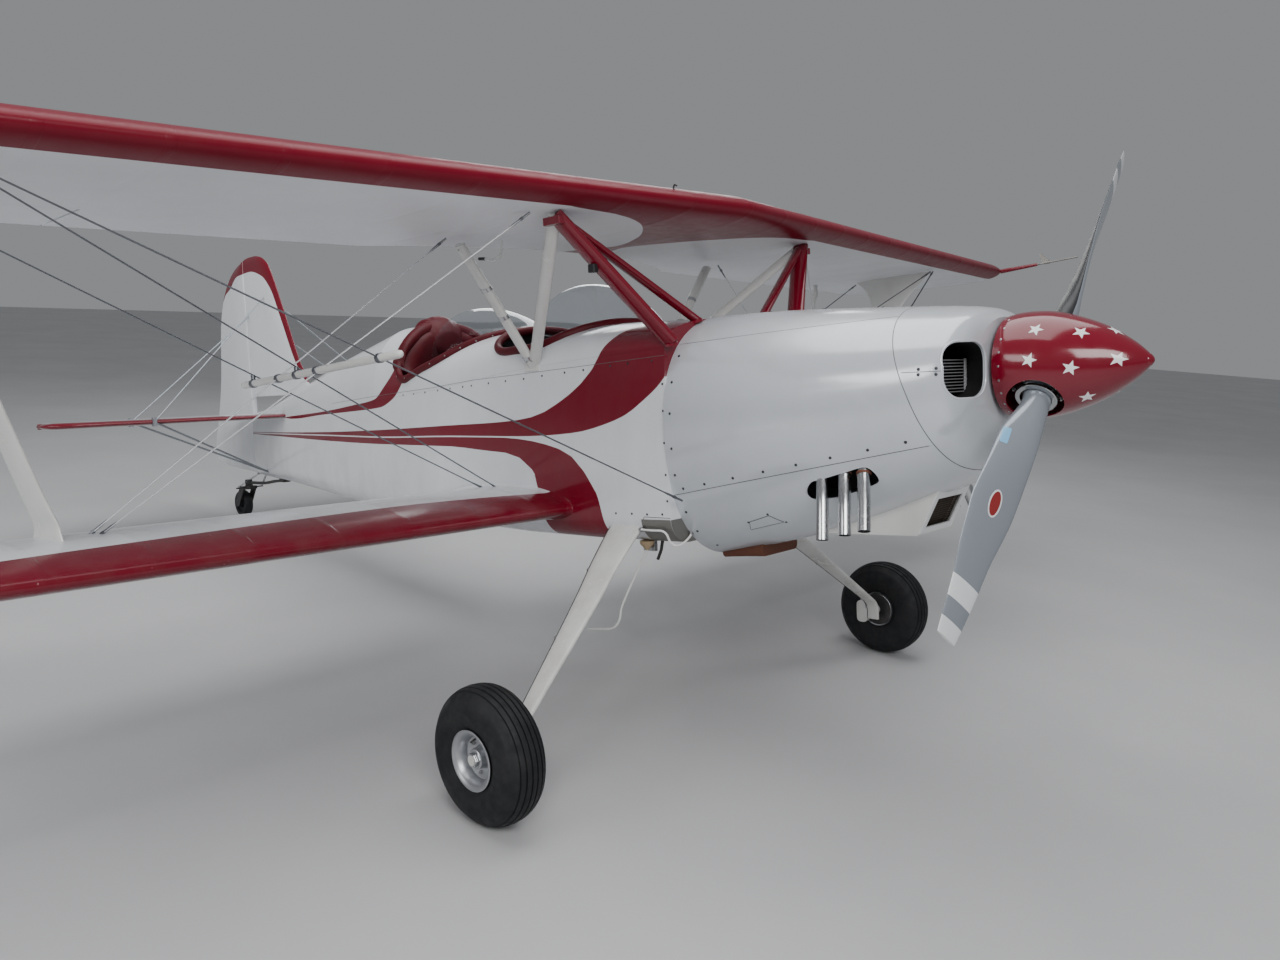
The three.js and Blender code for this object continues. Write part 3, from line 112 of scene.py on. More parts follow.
def to_row(points):
    """Level frame in millimetres to the row frame in metres."""
    p = np.asarray(points, float).reshape(-1, 3)
    return np.stack([(p[:, 0] * COS - p[:, 2] * SIN) / 1000 + ORIGIN_X, p[:, 1] / 1000,
                     (p[:, 0] * SIN + p[:, 2] * COS) / 1000 + ORIGIN_Z], 1)


# Shapes: each is (points, faces)

def merged(*shapes):
    points, faces, start = [], [], 0
    for p, f in shapes:
        points.append(np.asarray(p, float).reshape(-1, 3))
        faces += [tuple(i + start for i in face) for face in f]
        start += len(points[-1])
    return np.concatenate(points), faces


def loft(rings, caps=True, round_ring=True, looped=False):
    """Rings joined in order; looped joins the last one to the first and leaves the caps off."""
    rings = np.asarray(rings, float)
    rows, count = rings.shape[:2]
    faces = []
    for r in range(rows if looped else rows - 1):
        n = (r + 1) % rows
        for i in range(count if round_ring else count - 1):
            j = (i + 1) % count
            faces.append((r * count + i, r * count + j, n * count + j, n * count + i))
    if caps and not looped:
        faces.append(tuple(range(count - 1, -1, -1)))
        faces.append(tuple(range((rows - 1) * count, rows * count)))
    return rings.reshape(-1, 3), faces


def floats(*points):
    return [np.asarray(p, float) for p in points]


def unit(direction):
    direction = np.asarray(direction, float)
    return direction / np.linalg.norm(direction)


def unit_rows(rows):
    return rows / np.linalg.norm(rows, axis=1)[:, None]


def turns(count):
    """Equal angles once round."""
    return np.arange(count) / count * 2 * math.pi


def circle(count):
    """Cosine and sine at equal angles once round."""
    return [(math.cos(angle), math.sin(angle)) for angle in turns(count)]


def signed(value, power):
    """A power that keeps the value's sign, which squares a circle off."""
    return np.sign(value) * abs(value) ** power


def axis_frame(direction):
    d = unit(direction)
    a = unit(np.cross([0, 0, 1.0] if abs(d[2]) < 0.9 else [1.0, 0, 0], d))
    return d, a, np.cross(d, a)


def turned(profile, origin, direction, segments=48, closed=True):
    """A profile of (radius, distance) turned about an axis."""
    d, a, b = axis_frame(direction)
    angle = turns(segments)
    rings = [np.asarray(origin, float) + d * s + r * (np.outer(np.cos(angle), a) + np.outer(np.sin(angle), b))
             for r, s in profile]
    return loft(rings, looped=closed)


def bar(start, end, radius, end_radius=None, sides=16):
    start, end = floats(start, end)
    length = np.linalg.norm(end - start)
    return turned([(radius, 0), (radius if end_radius is None else end_radius, length)], start, end - start,
                  sides, closed=False)


def box(low, high):
    (x0, y0, z0), (x1, y1, z1) = low, high
    points = [(x, y, z) for x in (x0, x1) for y in (y0, y1) for z in (z0, z1)]
    return np.array(points, float), [(0, 1, 3, 2), (4, 6, 7, 5), (0, 4, 5, 1), (2, 3, 7, 6), (0, 2, 6, 4),
                                     (1, 5, 7, 3)]


def side_box(side, low, high):
    """A box on one side of the aeroplane; its y is given as on the port side."""
    near, far = sorted((side * low[1], side * high[1]))
    return box((low[0], near, low[2]), (high[0], far, high[2]))


def spline(points, per_span=6, closed=False):
    """A smooth line through points of any dimension."""
    p = np.asarray(points, float)
    count = len(p)
    if closed:
        p = np.concatenate([p[-1:], p, p[:2]])
    else:
        p = np.concatenate([[2 * p[0] - p[1]], p, [2 * p[-1] - p[-2]]])
    out = []
    for i in range(1, count + (1 if closed else 0)):
        a, b, c, d = p[i - 1:i + 3]
        for t in np.arange(per_span) / per_span:
            out.append(0.5 * (2 * b + (c - a) * t + (2 * a - 5 * b + 4 * c - d) * t * t
                              + (3 * b - a - 3 * c + d) * t ** 3))
    if not closed:
        out.append(p[-2])
    return np.array(out)


def tube(path, radius, sides=12, caps=True, closed=False):
    path = np.asarray(path, float)
    n = len(path)
    radius = np.broadcast_to(np.asarray(radius, float), n)
    if closed:
        tangent = np.roll(path, -1, 0) - np.roll(path, 1, 0)
    else:
        tangent = np.gradient(path, axis=0)
    tangent = unit_rows(tangent)
    _, a, _ = axis_frame(tangent[0])
    angle = turns(sides)
    rings = []
    for i in range(n):
        a = unit(a - tangent[i] * (a @ tangent[i]))
        b = np.cross(tangent[i], a)
        rings.append(path[i] + radius[i] * (np.outer(np.cos(angle), a) + np.outer(np.sin(angle), b)))
    return loft(rings, caps, looped=closed)


def ribbon(spots, width, height, sink=0.6, closed=False):
    """A flat strip on a surface; each spot is a point and the way the surface faces there."""
    path, normals = (np.array(part, float) for part in zip(*spots))
    normals = unit_rows(normals)
    tangent = np.roll(path, -1, 0) - np.roll(path, 1, 0) if closed else np.gradient(path, axis=0)
    rings = []
    for p, n, a in zip(path, normals, unit_rows(np.cross(tangent, normals))):
        rings.append([p + a * width / 2 - n * sink, p + a * width / 2 + n * height,
                      p - a * width / 2 + n * height, p - a * width / 2 - n * sink])
    return loft(rings, looped=closed)


def studs(spots, radius, height, sides=8):
    """Small domed screw heads on a surface."""
    head = [(radius, -0.6), (radius, height * 0.5), (radius * 0.6, height), (0.1, height * 1.1)]
    return merged(*[turned(head, p, n, sides, closed=False) for p, n in spots])


def mirrored(shape):
    points, faces = shape
    return np.asarray(points) * [1, -1, 1], [tuple(reversed(f)) for f in faces]


def in_scene(name, data):
    obj = bpy.data.objects.new(name, data)
    bpy.context.scene.collection.objects.link(obj)
    return obj


def as_object(name, shape):
    mesh = bpy.data.meshes.new(name)
    mesh.from_pydata(np.asarray(shape[0]).tolist(), [], [list(f) for f in shape[1]])
    obj = in_scene(name, mesh)
    tidy = bmesh.new()
    tidy.from_mesh(mesh)
    bmesh.ops.remove_doubles(tidy, verts=tidy.verts, dist=1e-4)
    bmesh.ops.recalc_face_normals(tidy, faces=tidy.faces)
    tidy.to_mesh(mesh)
    tidy.free()
    return obj


def carved(shape, cutters, operation="DIFFERENCE"):
    """Cuts a shape by each cutter in turn, or keeps only what lies in both."""
    work = as_object("work", shape)
    tools = []
    for cutter in cutters:
        tool = as_object("tool", cutter)
        tools.append(tool)
        cut = work.modifiers.new("cut", "BOOLEAN")
        cut.operation, cut.object, cut.solver = operation, tool, "EXACT"
    mesh = work.evaluated_get(bpy.context.evaluated_depsgraph_get()).to_mesh()
    points = np.array([v.co for v in mesh.vertices], float)
    faces = [tuple(p.vertices) for p in mesh.polygons]
    for obj in [work] + tools:
        bpy.data.objects.remove(obj)
    return points, faces


def piece(name, shape, material, body="airframe", replaces=(), angle=40, bevel=0.0):
    """A shown piece that rides on a body."""
    points, faces = shape
    obj = as_object(name, (to_row(points) * 1000, faces))
    obj.data.transform(Matrix.Scale(0.001, 4))
    if not isinstance(material, (list, tuple)):
        material = [material]
    for m in material:
        obj.data.materials.append(m)
    obj.data.polygons.foreach_set("use_smooth", [True] * len(obj.data.polygons))
    obj.data.set_sharp_from_angle(angle=math.radians(angle))
    if bevel:
        edge = obj.modifiers.new("edges", "BEVEL")
        edge.width, edge.segments, edge.limit_method = bevel / 1000, 2, "ANGLE"
        edge.angle_limit, edge.harden_normals = math.radians(angle), True
    if body:
        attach(obj, body)
    if replaces:
        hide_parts(*replaces)
    return obj


# Materials

class Nodes:
    """Short calls for laying out a node tree."""

    def __init__(self, tree):
        self.tree = tree

    def add(self, kind, inputs=None, **settings):
        node = self.tree.nodes.new("ShaderNode" + kind)
        for key, value in settings.items():
            setattr(node, key, value)
        for key, value in (inputs or {}).items():
            self.put(node.inputs[key], value)
        return node

    def put(self, socket, value):
        if isinstance(value, bpy.types.NodeSocket):
            self.tree.links.new(value, socket)
        else:
            socket.default_value = value

    def math(self, operation, a, b=0.0, clamp=False):
        node = self.add("Math", {0: a, 1: b}, operation=operation)
        node.use_clamp = clamp
        return node.outputs[0]

    def times(self, a, b, clamp=False):
        return self.math("MULTIPLY", a, b, clamp)

    def plus(self, a, b):
        return self.math("ADD", a, b)

    def minus(self, a, b):
        return self.math("SUBTRACT", a, b)

    def rescale(self, value, low, high, to_low=0.0, to_high=1.0):
        return self.add("MapRange", {"Value": value, "From Min": low, "From Max": high, "To Min": to_low,
                                     "To Max": to_high}).outputs[0]

    def blend(self, factor, a, b, mode="MIX"):
        node = self.add("Mix", data_type="RGBA", blend_type=mode)
        for index, value in ((0, factor), (6, a), (7, b)):
            self.put(node.inputs[index], value)
        return node.outputs[2]

    def shaded(self, color, amount):
        """A colour times a grey."""
        grey = self.add("CombineColor", {0: amount, 1: amount, 2: amount}).outputs[0]
        return self.blend(1.0, color, grey, "MULTIPLY")

    def noise(self, scale, detail=3.0, rough=0.55, stretch=None):
        place = self.add("TexCoord").outputs["Object"]
        if stretch:
            place = self.add("Mapping", {"Vector": place, "Scale": stretch}).outputs[0]
        node = self.add("TexNoise", {"Vector": place, "Scale": scale, "Detail": detail, "Roughness": rough})
        return node.outputs["Fac"]


def group(name, inputs, outputs, build):
    """A named group: build(nodes, sockets) gives the value of each output."""
    tree = bpy.data.node_groups.new(name, "ShaderNodeTree")
    kinds = {"color": "NodeSocketColor", "value": "NodeSocketFloat"}
    for label, kind, default in inputs:
        tree.interface.new_socket(label, in_out="INPUT", socket_type=kinds[kind]).default_value = default
    for label, kind in outputs:
        tree.interface.new_socket(label, in_out="OUTPUT", socket_type=kinds[kind])
    n = Nodes(tree)
    entry, result = tree.nodes.new("NodeGroupInput"), tree.nodes.new("NodeGroupOutput")
    made = build(n, entry.outputs)
    for label, _ in outputs:
        tree.links.new(made[label], result.inputs[label])
    return tree


def use(n, tree, **values):
    node = n.tree.nodes.new("ShaderNodeGroup")
    node.node_tree = tree
    for label, value in values.items():
        n.put(node.inputs[label.replace("_", " ")], value)
    return node.outputs


def level_place(n):
    """X, Y and Z of the level frame in millimetres, from the piece's own coordinates."""
    place = n.add("TexCoord").outputs["Object"]

    def along(direction, offset):
        dot = n.add("VectorMath", {0: place, 1: direction}, operation="DOT_PRODUCT").outputs["Value"]
        return n.minus(dot, offset)

    x = along((1000 * COS, 0, 1000 * SIN), 1000 * (ORIGIN_X * COS + ORIGIN_Z * SIN))
    z = along((-1000 * SIN, 0, 1000 * COS), 1000 * (-ORIGIN_X * SIN + ORIGIN_Z * COS))
    return x, along((0, 1000, 0), 0.0), z


def eased(table, x):
    """A line through a table's points that never overshoots them."""
    xs, ys = np.array(table, float).T
    step = np.diff(ys) / np.diff(xs)
    slope = np.zeros(len(xs))
    slope[1:-1] = np.where(step[:-1] * step[1:] > 0,
                           2 * step[:-1] * step[1:] / np.where(step[:-1] + step[1:] == 0, 1, step[:-1] + step[1:]), 0)
    slope[0], slope[-1] = step[0], step[-1]
    i = np.clip(np.searchsorted(xs, x) - 1, 0, len(xs) - 2)
    width = xs[i + 1] - xs[i]
    t = np.clip((x - xs[i]) / width, 0, 1)
    return ((2 * t ** 3 - 3 * t ** 2 + 1) * ys[i] + (t ** 3 - 2 * t ** 2 + t) * width * slope[i]
            + (3 * t ** 2 - 2 * t ** 3) * ys[i + 1] + (t ** 3 - t ** 2) * width * slope[i + 1])


def eased_at(table, value):
    return float(eased(table, np.array([value]))[0])


def row_at(rows, x):
    """The other columns of a table at a value of its first."""
    return [float(np.interp(x, rows[:, 0], rows[:, k])) for k in range(1, rows.shape[1])]


def lookup(n, value, table, samples=44, front=False):
    """The table's second column at a value of its first; front puts more samples at the high end."""
    low, high = table[0][0], table[-1][0]
    heights = [row[1] for row in table]
    bottom, top = min(heights), max(heights)
    node = n.add("FloatCurve")
    curve = node.mapping.curves[0]
    share = np.linspace(0, 1, samples)
    at = high - (high - low) * share ** 2 if front else low + (high - low) * share
    levels = (eased(table, at) - bottom) / (top - bottom)
    for i, (u, v) in enumerate(zip(share, levels)):
        point = curve.points[min(i, 1)] if i in (0, samples - 1) else curve.points.new(u, v)
        if i == 0:
            curve.points[0].location = (0, v)
        elif i == samples - 1:
            curve.points[len(curve.points) - 1].location = (1, v)
        point.handle_type = "VECTOR"
    node.mapping.update()
    place = n.rescale(value, high, low) if front else n.rescale(value, low, high)
    n.put(node.inputs["Value"], n.math("POWER", place, 0.5) if front else place)
    return n.rescale(node.outputs[0], 0, 1, bottom, top)


def over(n, value, edge, soft=0.7):
    """1 where a value lies above an edge, 0 below, in millimetres."""
    return n.rescale(n.minus(value, edge), -soft, soft)


def both(n, *masks):
    made = masks[0]
    for mask in masks[1:]:
        made = n.times(made, mask)
    return made


def either(n, *masks):
    made = masks[0]
    for mask in masks[1:]:
        made = n.math("MAXIMUM", made, mask)
    return made


def flipped(n, mask):
    return n.minus(1.0, mask)


# Stripe edges along the fuselage: x, z
BAND_TOP = [(-4400, 1199), (-3864, 1200), (-2758, 1210), (-1990, 1227), (-1237, 1253), (-954, 1262), (-729, 1276),
            (-612, 1298), (-496, 1342), (-385, 1399), (-310, 1454), (-270, 1496), (-232, 1551), (-183, 1605),
            (-120, 1700), (120, 1760)]
BAND_LOW = [(-4400, 1195), (-3864, 1195.5), (-2761, 1195.5), (-1994, 1192.5), (-1242, 1203), (-766, 1203),
            (-647, 1205), (-506, 1211), (-371, 1223), (-242, 1249), (-118, 1287), (-22, 1341), (60, 1398),
            (120, 1461)]
SWEEP_TOP = [(-4400, 1193), (-3864, 1190), (-2760, 1189), (-1996, 1186), (-1242, 1197), (-900, 1197), (-736, 1190),
             (-621, 1175), (-510, 1153), (-431, 1122), (-380, 1082), (-332, 1024), (-285, 953), (-264, 901),
             (-254, 865), (-236, 800), (-228, 640), (120, 630)]
SWEEP_LOW = [(-4400, 1191), (-3451, 1176), (-2767, 1162), (-2000, 1153), (-1321, 1153), (-1000, 1137), (-818, 1127),
             (-744, 1102), (-674, 1055), (-634, 1004), (-608, 965), (-590, 700), (-560, 640), (120, 630)]
TAIL_TOP = [(-3400, 1296), (-3239, 1305), (-2736, 1329), (-2330, 1359), (-2041, 1387), (-1929, 1449), (-1834, 1528),
            (-1796, 1600), (-1600, 1760)]
TAIL_LOW = [(-3400, 1296), (-3242, 1288), (-2739, 1311), (-2336, 1326), (-1978, 1344), (-1838, 1384), (-1741, 1453),
            (-1700, 1520), (-1600, 1790)]
FIN_LOW = [(-4430, 2120), (-4384, 2163), (-4308, 2190), (-4169, 2265), (-3971, 2277), (-3805, 2233), (-3706, 2145),
           (-3589, 1927), (-3444, 1648), (-3333, 1522), (-3224, 1481), (-3150, 1700), (-3100, 2000)]
# Inboard edge of the white under the centre section, and aft edge of the lower wing's red: share or y, then reach
CENTRE_EDGE = [(0.0, 900), (0.085, 800), (0.104, 600), (0.15, 425), (0.23, 290), (0.42, 118), (0.614, 32), (0.72, 72),
               (1.0, 160)]
LOWER_EDGE = [(300, 0.095), (426, 0.114), (747, 0.155), (1102, 0.178), (1511, 0.166), (1863, 0.146), (2270, 0.124),
              (2422, 0.114), (3400, 0.085)]
STABILISER_EDGE = [(0, -3340), (60, -3346), (640, -3500), (1050, -3600), (1250, -3660), (1370, -3740), (1400, -3800)]
UPPER_BAND_TOP, UPPER_BAND_LESS = 0.185, 0.098      # the red's reach, and how much less it is underneath
TAIL_BAND_END, FIN_BAND_END, TAILPLANE_TIP, TAILPLANE_BAND = -1640.0, -3120.0, 1366.0, 52.0


def between(n, x, z, low, top, **how):
    return both(n, over(n, z, lookup(n, x, low, **how)), flipped(n, over(n, z, lookup(n, x, top, **how))))


def fuselage_marks(n, _):
    x, _, z = level_place(n)
    band = between(n, x, z, BAND_LOW, BAND_TOP, front=True)
    sweep = between(n, x, z, SWEEP_LOW, SWEEP_TOP, front=True)
    tail = both(n, between(n, x, z, TAIL_LOW, TAIL_TOP, samples=80), flipped(n, over(n, x, TAIL_BAND_END)))
    return {"Mask": either(n, band, sweep, tail)}


def fin_marks(n, _):
    x, _, z = level_place(n)
    return {"Mask": both(n, over(n, z, lookup(n, x, FIN_LOW, 80)), flipped(n, over(n, x, FIN_BAND_END)))}


def wing_share(n, wing):
    x, y, _ = level_place(n)
    span = n.math("ABSOLUTE", y)
    edge = n.minus(wing["le"], n.times(span, wing["sweep"]))
    return n.math("DIVIDE", n.minus(edge, x), float(wing["chord"])), span


def upper_marks(n, _):
    share, span = wing_share(n, UPPER)
    up = n.add("SeparateXYZ", {0: n.add("TexCoord").outputs["Normal"]}).outputs[2]
    below = flipped(n, over(n, up, 0.0, 0.01))
    reach = n.minus(UPPER_BAND_TOP, n.times(below, UPPER_BAND_LESS))
    front = flipped(n, over(n, share, reach, 0.0006))
    centre = both(n, flipped(n, over(n, span, lookup(n, share, CENTRE_EDGE))), below)
    return {"Mask": either(n, front, centre)}


def lower_marks(n, _):
    share, span = wing_share(n, LOWER)
    return {"Mask": flipped(n, over(n, share, lookup(n, span, LOWER_EDGE), 0.0006))}


def tailplane_marks(n, _):
    x, y, _ = level_place(n)
    span = n.math("ABSOLUTE", y)
    edge = n.minus(lookup(n, span, STABILISER_EDGE, 60), TAILPLANE_BAND)
    return {"Mask": either(n, over(n, x, edge), over(n, span, TAILPLANE_TIP))}


def paint_surface(n, sockets):
    """Gloss paint: slow colour drift, faint dirt streaks low down, orange peel."""
    drift = n.rescale(n.noise(1.6, 3), 0.3, 0.7, 0.93, 1.03)
    speck = n.rescale(n.noise(60, 4, 0.7), 0.62, 0.8)
    place = n.add("SeparateXYZ", {0: n.add("TexCoord").outputs["Object"]}).outputs[2]
    low = n.rescale(place, 1.0, 0.15)
    streak = n.rescale(n.noise(9, 5, 0.65, stretch=(1, 1, 0.35)), 0.42, 0.75)
    dirt = n.times(n.plus(n.times(streak, n.plus(low, 0.25)), n.times(speck, 0.25)), sockets["Dirt"], clamp=True)
    color = n.shaded(sockets["Color"], drift)
    color = n.blend(dirt, color, (0.16, 0.135, 0.11, 1))
    rough = n.plus(n.rescale(n.noise(24, 4), 0.3, 0.7, 0.0, 0.09), n.times(dirt, 0.35))
    return {"Color": color, "Roughness": n.plus(rough, sockets["Gloss"]), "Height": n.noise(240, 2, 0.5)}


def metal_surface(n, sockets):
    """Metal: brushing along the piece, blotches and small dark pits."""
    brush = n.noise(70, 5, 0.6, stretch=(6, 1, 1))
    blotch = n.noise(7, 4, 0.6)
    pits = n.rescale(n.noise(150, 3, 0.7), 0.66, 0.78)
    shade = n.rescale(n.plus(n.times(brush, 0.4), n.times(blotch, 0.6)), 0.3, 0.7, 0.82, 1.06)
    color = n.shaded(sockets["Color"], shade)
    color = n.blend(n.times(pits, sockets["Age"]), color, (0.06, 0.045, 0.035, 1))
    rough = n.plus(n.rescale(brush, 0.3, 0.7, 0.0, 0.12), n.rescale(blotch, 0.35, 0.7, 0.0, 0.1))
    return {"Color": color, "Roughness": n.plus(rough, sockets["Gloss"]), "Height": brush}


def hide_surface(n, sockets):
    """Leather: pebble grain, soft creases, lighter worn high spots."""
    grain = n.add("TexVoronoi", {"Vector": n.add("TexCoord").outputs["Object"], "Scale": 420.0}).outputs["Distance"]
    crease = n.noise(22, 4, 0.6)
    shade = n.rescale(n.plus(n.times(grain, 0.35), crease), 0.35, 1.0, 0.72, 1.2)
    color = n.shaded(sockets["Color"], shade)
    return {"Color": color, "Roughness": n.rescale(crease, 0.3, 0.7, 0.34, 0.5),
            "Height": n.plus(n.times(grain, 0.5), n.times(crease, 1.6))}


def fabric_surface(n, sockets):
    """Doped fabric over ribs: it sags a little between them, with a tape along each rib."""
    x, y, _ = level_place(n)
    bay = n.math("FRACT", n.math("DIVIDE", n.plus(y, 100000.0), sockets["Pitch"]))
    off = n.math("ABSOLUTE", n.minus(bay, 0.5))
    sag = n.times(n.math("POWER", n.times(off, 2.0), 2.0), sockets["Sag"])
    tape = n.times(n.rescale(off, 0.452, 0.46), 0.12)
    weave = n.times(n.noise(900, 1, 0.4), 0.03)
    return {"Height": n.plus(n.plus(sag, tape), weave)}


MASK_OUT = [("Mask", "value")]
FINISH_OUT = [("Color", "color"), ("Roughness", "value"), ("Height", "value")]
MARKS = {name: group(name, [], MASK_OUT, build) for name, build in (
    ("fuselage_marks", fuselage_marks), ("fin_marks", fin_marks), ("upper_wing_marks", upper_marks),
    ("lower_wing_marks", lower_marks), ("tailplane_marks", tailplane_marks))}
PAINT = group("paint_surface", [("Color", "color", (1, 1, 1, 1)), ("Dirt", "value", 0.2), ("Gloss", "value", 0.12)],
              FINISH_OUT, paint_surface)
METAL = group("metal_surface", [("Color", "color", (1, 1, 1, 1)), ("Age", "value", 0.3), ("Gloss", "value", 0.2)],
              FINISH_OUT, metal_surface)
HIDE = group("hide_surface", [("Color", "color", (1, 1, 1, 1))], FINISH_OUT, hide_surface)
FABRIC = group("fabric_surface", [("Pitch", "value", 300.0), ("Sag", "value", 1.0)], [("Height", "value")],
               fabric_surface)

WHITE = (0.78, 0.80, 0.83, 1)
SILVER_WHITE = (0.62, 0.65, 0.69, 1)
RED = (0.175, 0.003, 0.016, 1)


def new_material(name, **constants):
    """An empty Principled material and the nodes to fill it with."""
    material = bpy.data.materials.new(name)
    material.use_nodes = True
    shader = material.node_tree.nodes["Principled BSDF"]
    for label, value in constants.items():
        shader.inputs[label.replace("_", " ")].default_value = value
    return material, Nodes(material.node_tree), shader


def fill(n, shader, surface, depth, height=None):
    n.put(shader.inputs["Base Color"], surface["Color"])
    n.put(shader.inputs["Roughness"], surface["Roughness"])
    bump = n.add("Bump", {"Height": height or surface["Height"], "Strength": 1.0, "Distance": depth})
    n.put(shader.inputs["Normal"], bump.outputs[0])


def painted(name, color, marks=None, second=RED, dirt=0.2, gloss=0.1, fabric=None, metallic=0.0, coat=0.12,
            shine=0.5):
    material, n, shader = new_material(name, Metallic=metallic, Coat_Weight=coat, Coat_Roughness=0.06,
                                       Specular_IOR_Level=shine)
    if marks:
        mask = use(n, MARKS[marks])["Mask"]
        color = n.blend(mask, color, second)
    surface = use(n, PAINT, Color=color, Dirt=dirt, Gloss=gloss)
    if fabric:
        sag = use(n, FABRIC, Pitch=float(fabric[0]), Sag=fabric[1])["Height"]
        height = n.plus(n.times(surface["Height"], 0.02), sag)
        fill(n, shader, surface, 0.0035, height)
    else:
        fill(n, shader, surface, 0.00008)
    return material


def metal(name, color, age=0.3, gloss=0.2, depth=0.00006, metallic=1.0):
    material, n, shader = new_material(name, Metallic=metallic)
    fill(n, shader, use(n, METAL, Color=color, Age=age, Gloss=gloss), depth)
    return material


def hide(name, color):
    material, n, shader = new_material(name, Coat_Weight=0.05, Coat_Roughness=0.35, Specular_IOR_Level=0.25)
    fill(n, shader, use(n, HIDE, Color=color), 0.0009)
    return material


def rubber(name):
    material, n, shader = new_material(name, Specular_IOR_Level=0.35)
    dust = n.times(n.rescale(n.noise(14, 5, 0.7), 0.4, 0.75), 0.35)
    fill(n, shader, {"Color": n.blend(dust, (0.008, 0.009, 0.011, 1), (0.045, 0.043, 0.042, 1)),
                     "Roughness": n.rescale(n.noise(30, 4), 0.3, 0.7, 0.48, 0.78),
                     "Height": n.noise(260, 4, 0.7)}, 0.0005)
    return material


def clear_sheet(name):
    material, n, shader = new_material(name, Transmission_Weight=1.0, IOR=1.13, Specular_IOR_Level=0.2)
    tint = n.rescale(n.noise(3, 3), 0.3, 0.7)
    fill(n, shader, {"Color": n.blend(tint, (0.80, 0.85, 0.89, 1), (0.88, 0.91, 0.94, 1)),
                     "Roughness": n.rescale(n.noise(26, 5, 0.7, stretch=(1, 1, 3)), 0.5, 0.75, 0.02, 0.1),
                     "Height": n.noise(8, 2)}, 0.0002)
    return material


fuselage_paint = painted("white_dope_with_stripes", WHITE, "fuselage_marks", dirt=0.22, gloss=0.09)
tail_paint = painted("white_fin_dope", WHITE, "fin_marks", dirt=0.12, fabric=(300, 0.0))
upper_paint = painted("white_upper_wing_dope", WHITE, "upper_wing_marks", dirt=0.12, gloss=0.3, fabric=(295, 0.55),
                      coat=0.0, shine=0.22)
lower_paint = painted("white_lower_wing_dope", WHITE, "lower_wing_marks", dirt=0.3, gloss=0.16, fabric=(295, 0.8),
                      coat=0.05, shine=0.4)
tailplane_paint = painted("white_tailplane_dope", WHITE, "tailplane_marks", dirt=0.2, fabric=(240, 0.45))
cowl_paint = painted("silvery_white_cowl_paint", SILVER_WHITE, dirt=0.16, gloss=0.14, metallic=0.2, coat=0.2)
white_paint = painted("white_enamel", (0.72, 0.715, 0.69, 1), dirt=0.4, gloss=0.18)
red_paint = painted("red_enamel", RED, dirt=0.1, gloss=0.1, coat=0.3)
black_paint = painted("black_satin_enamel", (0.018, 0.018, 0.02, 1), dirt=0.3, gloss=0.35, coat=0.0)
seam_dark = painted("shadow_line", (0.10, 0.10, 0.11, 1), dirt=0.3, gloss=0.5, coat=0.0)
# Near black for painted shade: the shade inside the inlets, behind the cylinder fins and behind the exhaust slots.
painted_shade_dark = painted("painted_shade_inside", (0.012, 0.012, 0.013, 1), dirt=0.2, gloss=0.6, coat=0.0)
blade_grey = painted("blade_grey_paint", (0.30, 0.33, 0.37, 1), dirt=0.12, gloss=0.16, metallic=0.35)
blade_white = painted("blade_white_paint", (0.72, 0.73, 0.74, 1), dirt=0.12, gloss=0.2)
blade_black = painted("blade_black_paint", (0.014, 0.015, 0.018, 1), dirt=0.15, gloss=0.4, coat=0.0)
sticker_blue = painted("pale_blue_sticker", (0.20, 0.45, 0.68, 1), dirt=0.2, gloss=0.3)
star_white = painted("star_white_paint", (0.85, 0.85, 0.86, 1), dirt=0.04, gloss=0.15)
decal_red = painted("decal_red", (0.25, 0.02, 0.02, 1), dirt=0.1, gloss=0.25)
steel = metal("polished_steel", (0.56, 0.57, 0.58, 1), 0.25, 0.12)
wire_steel = metal("dark_wire_steel", (0.20, 0.21, 0.23, 1), 0.4, 0.3)
# A lighter copy of the wire steel for the landing wires: their sheen is painted into the colour.
sheen_wire = metal("wire_steel_painted_sheen", (0.72, 0.73, 0.75, 1), 0.1, 0.3, metallic=0.35)
brace_wire = metal("brace_wire_steel", (0.34, 0.36, 0.39, 1), 0.2, 0.3, metallic=0.6)
screw_dark = metal("dark_screws", (0.09, 0.09, 0.10, 1), 0.5, 0.35)
screw_zinc = metal("zinc_screws", (0.42, 0.42, 0.43, 1), 0.5, 0.3)
alloy = metal("wheel_alloy", (0.50, 0.51, 0.53, 1), 0.3, 0.28)
iron = metal("engine_iron", (0.07, 0.07, 0.075, 1), 0.5, 0.45)
fin_alloy = metal("cylinder_fin_alloy", (0.34, 0.34, 0.35, 1), 0.4, 0.35, metallic=0.35)
belly_metal = metal("belly_sheet_metal", (0.33, 0.32, 0.30, 1), 0.7, 0.35, 0.0004)
belly_dark = metal("dark_mesh_metal", (0.05, 0.045, 0.04, 1), 0.5, 0.5)
mesh_brown = metal("brown_mesh_wire", (0.085, 0.062, 0.048, 1), 0.5, 0.5, metallic=0.4)
rust = metal("heat_stained_steel", (0.16, 0.06, 0.035, 1), 0.6, 0.5, 0.0004, 0.4)
hose_white = painted("white_plastic", (0.84, 0.84, 0.82, 1), dirt=0.12, gloss=0.4, coat=0.0)
tan_plastic = painted("tan_plastic", (0.42, 0.31, 0.18, 1), dirt=0.3, gloss=0.4, coat=0.0)
leather = hide("dark_red_leather", (0.095, 0.003, 0.009, 1))
seat_leather = hide("seat_leather", (0.07, 0.006, 0.009, 1))
webbing = painted("belt_webbing", (0.05, 0.05, 0.055, 1), dirt=0.3, gloss=0.6, coat=0.0)
dial_ink = painted("dial_ivory", (0.75, 0.74, 0.68, 1), dirt=0.05, gloss=0.3, coat=0.0)
tyre_rubber = rubber("tyre_rubber")
screen = clear_sheet("clear_acrylic")


# Fuselage

def station(x):
    """Half width, belly, top longeron and deck crown."""
    return row_at(FUSELAGE[::-1], x)


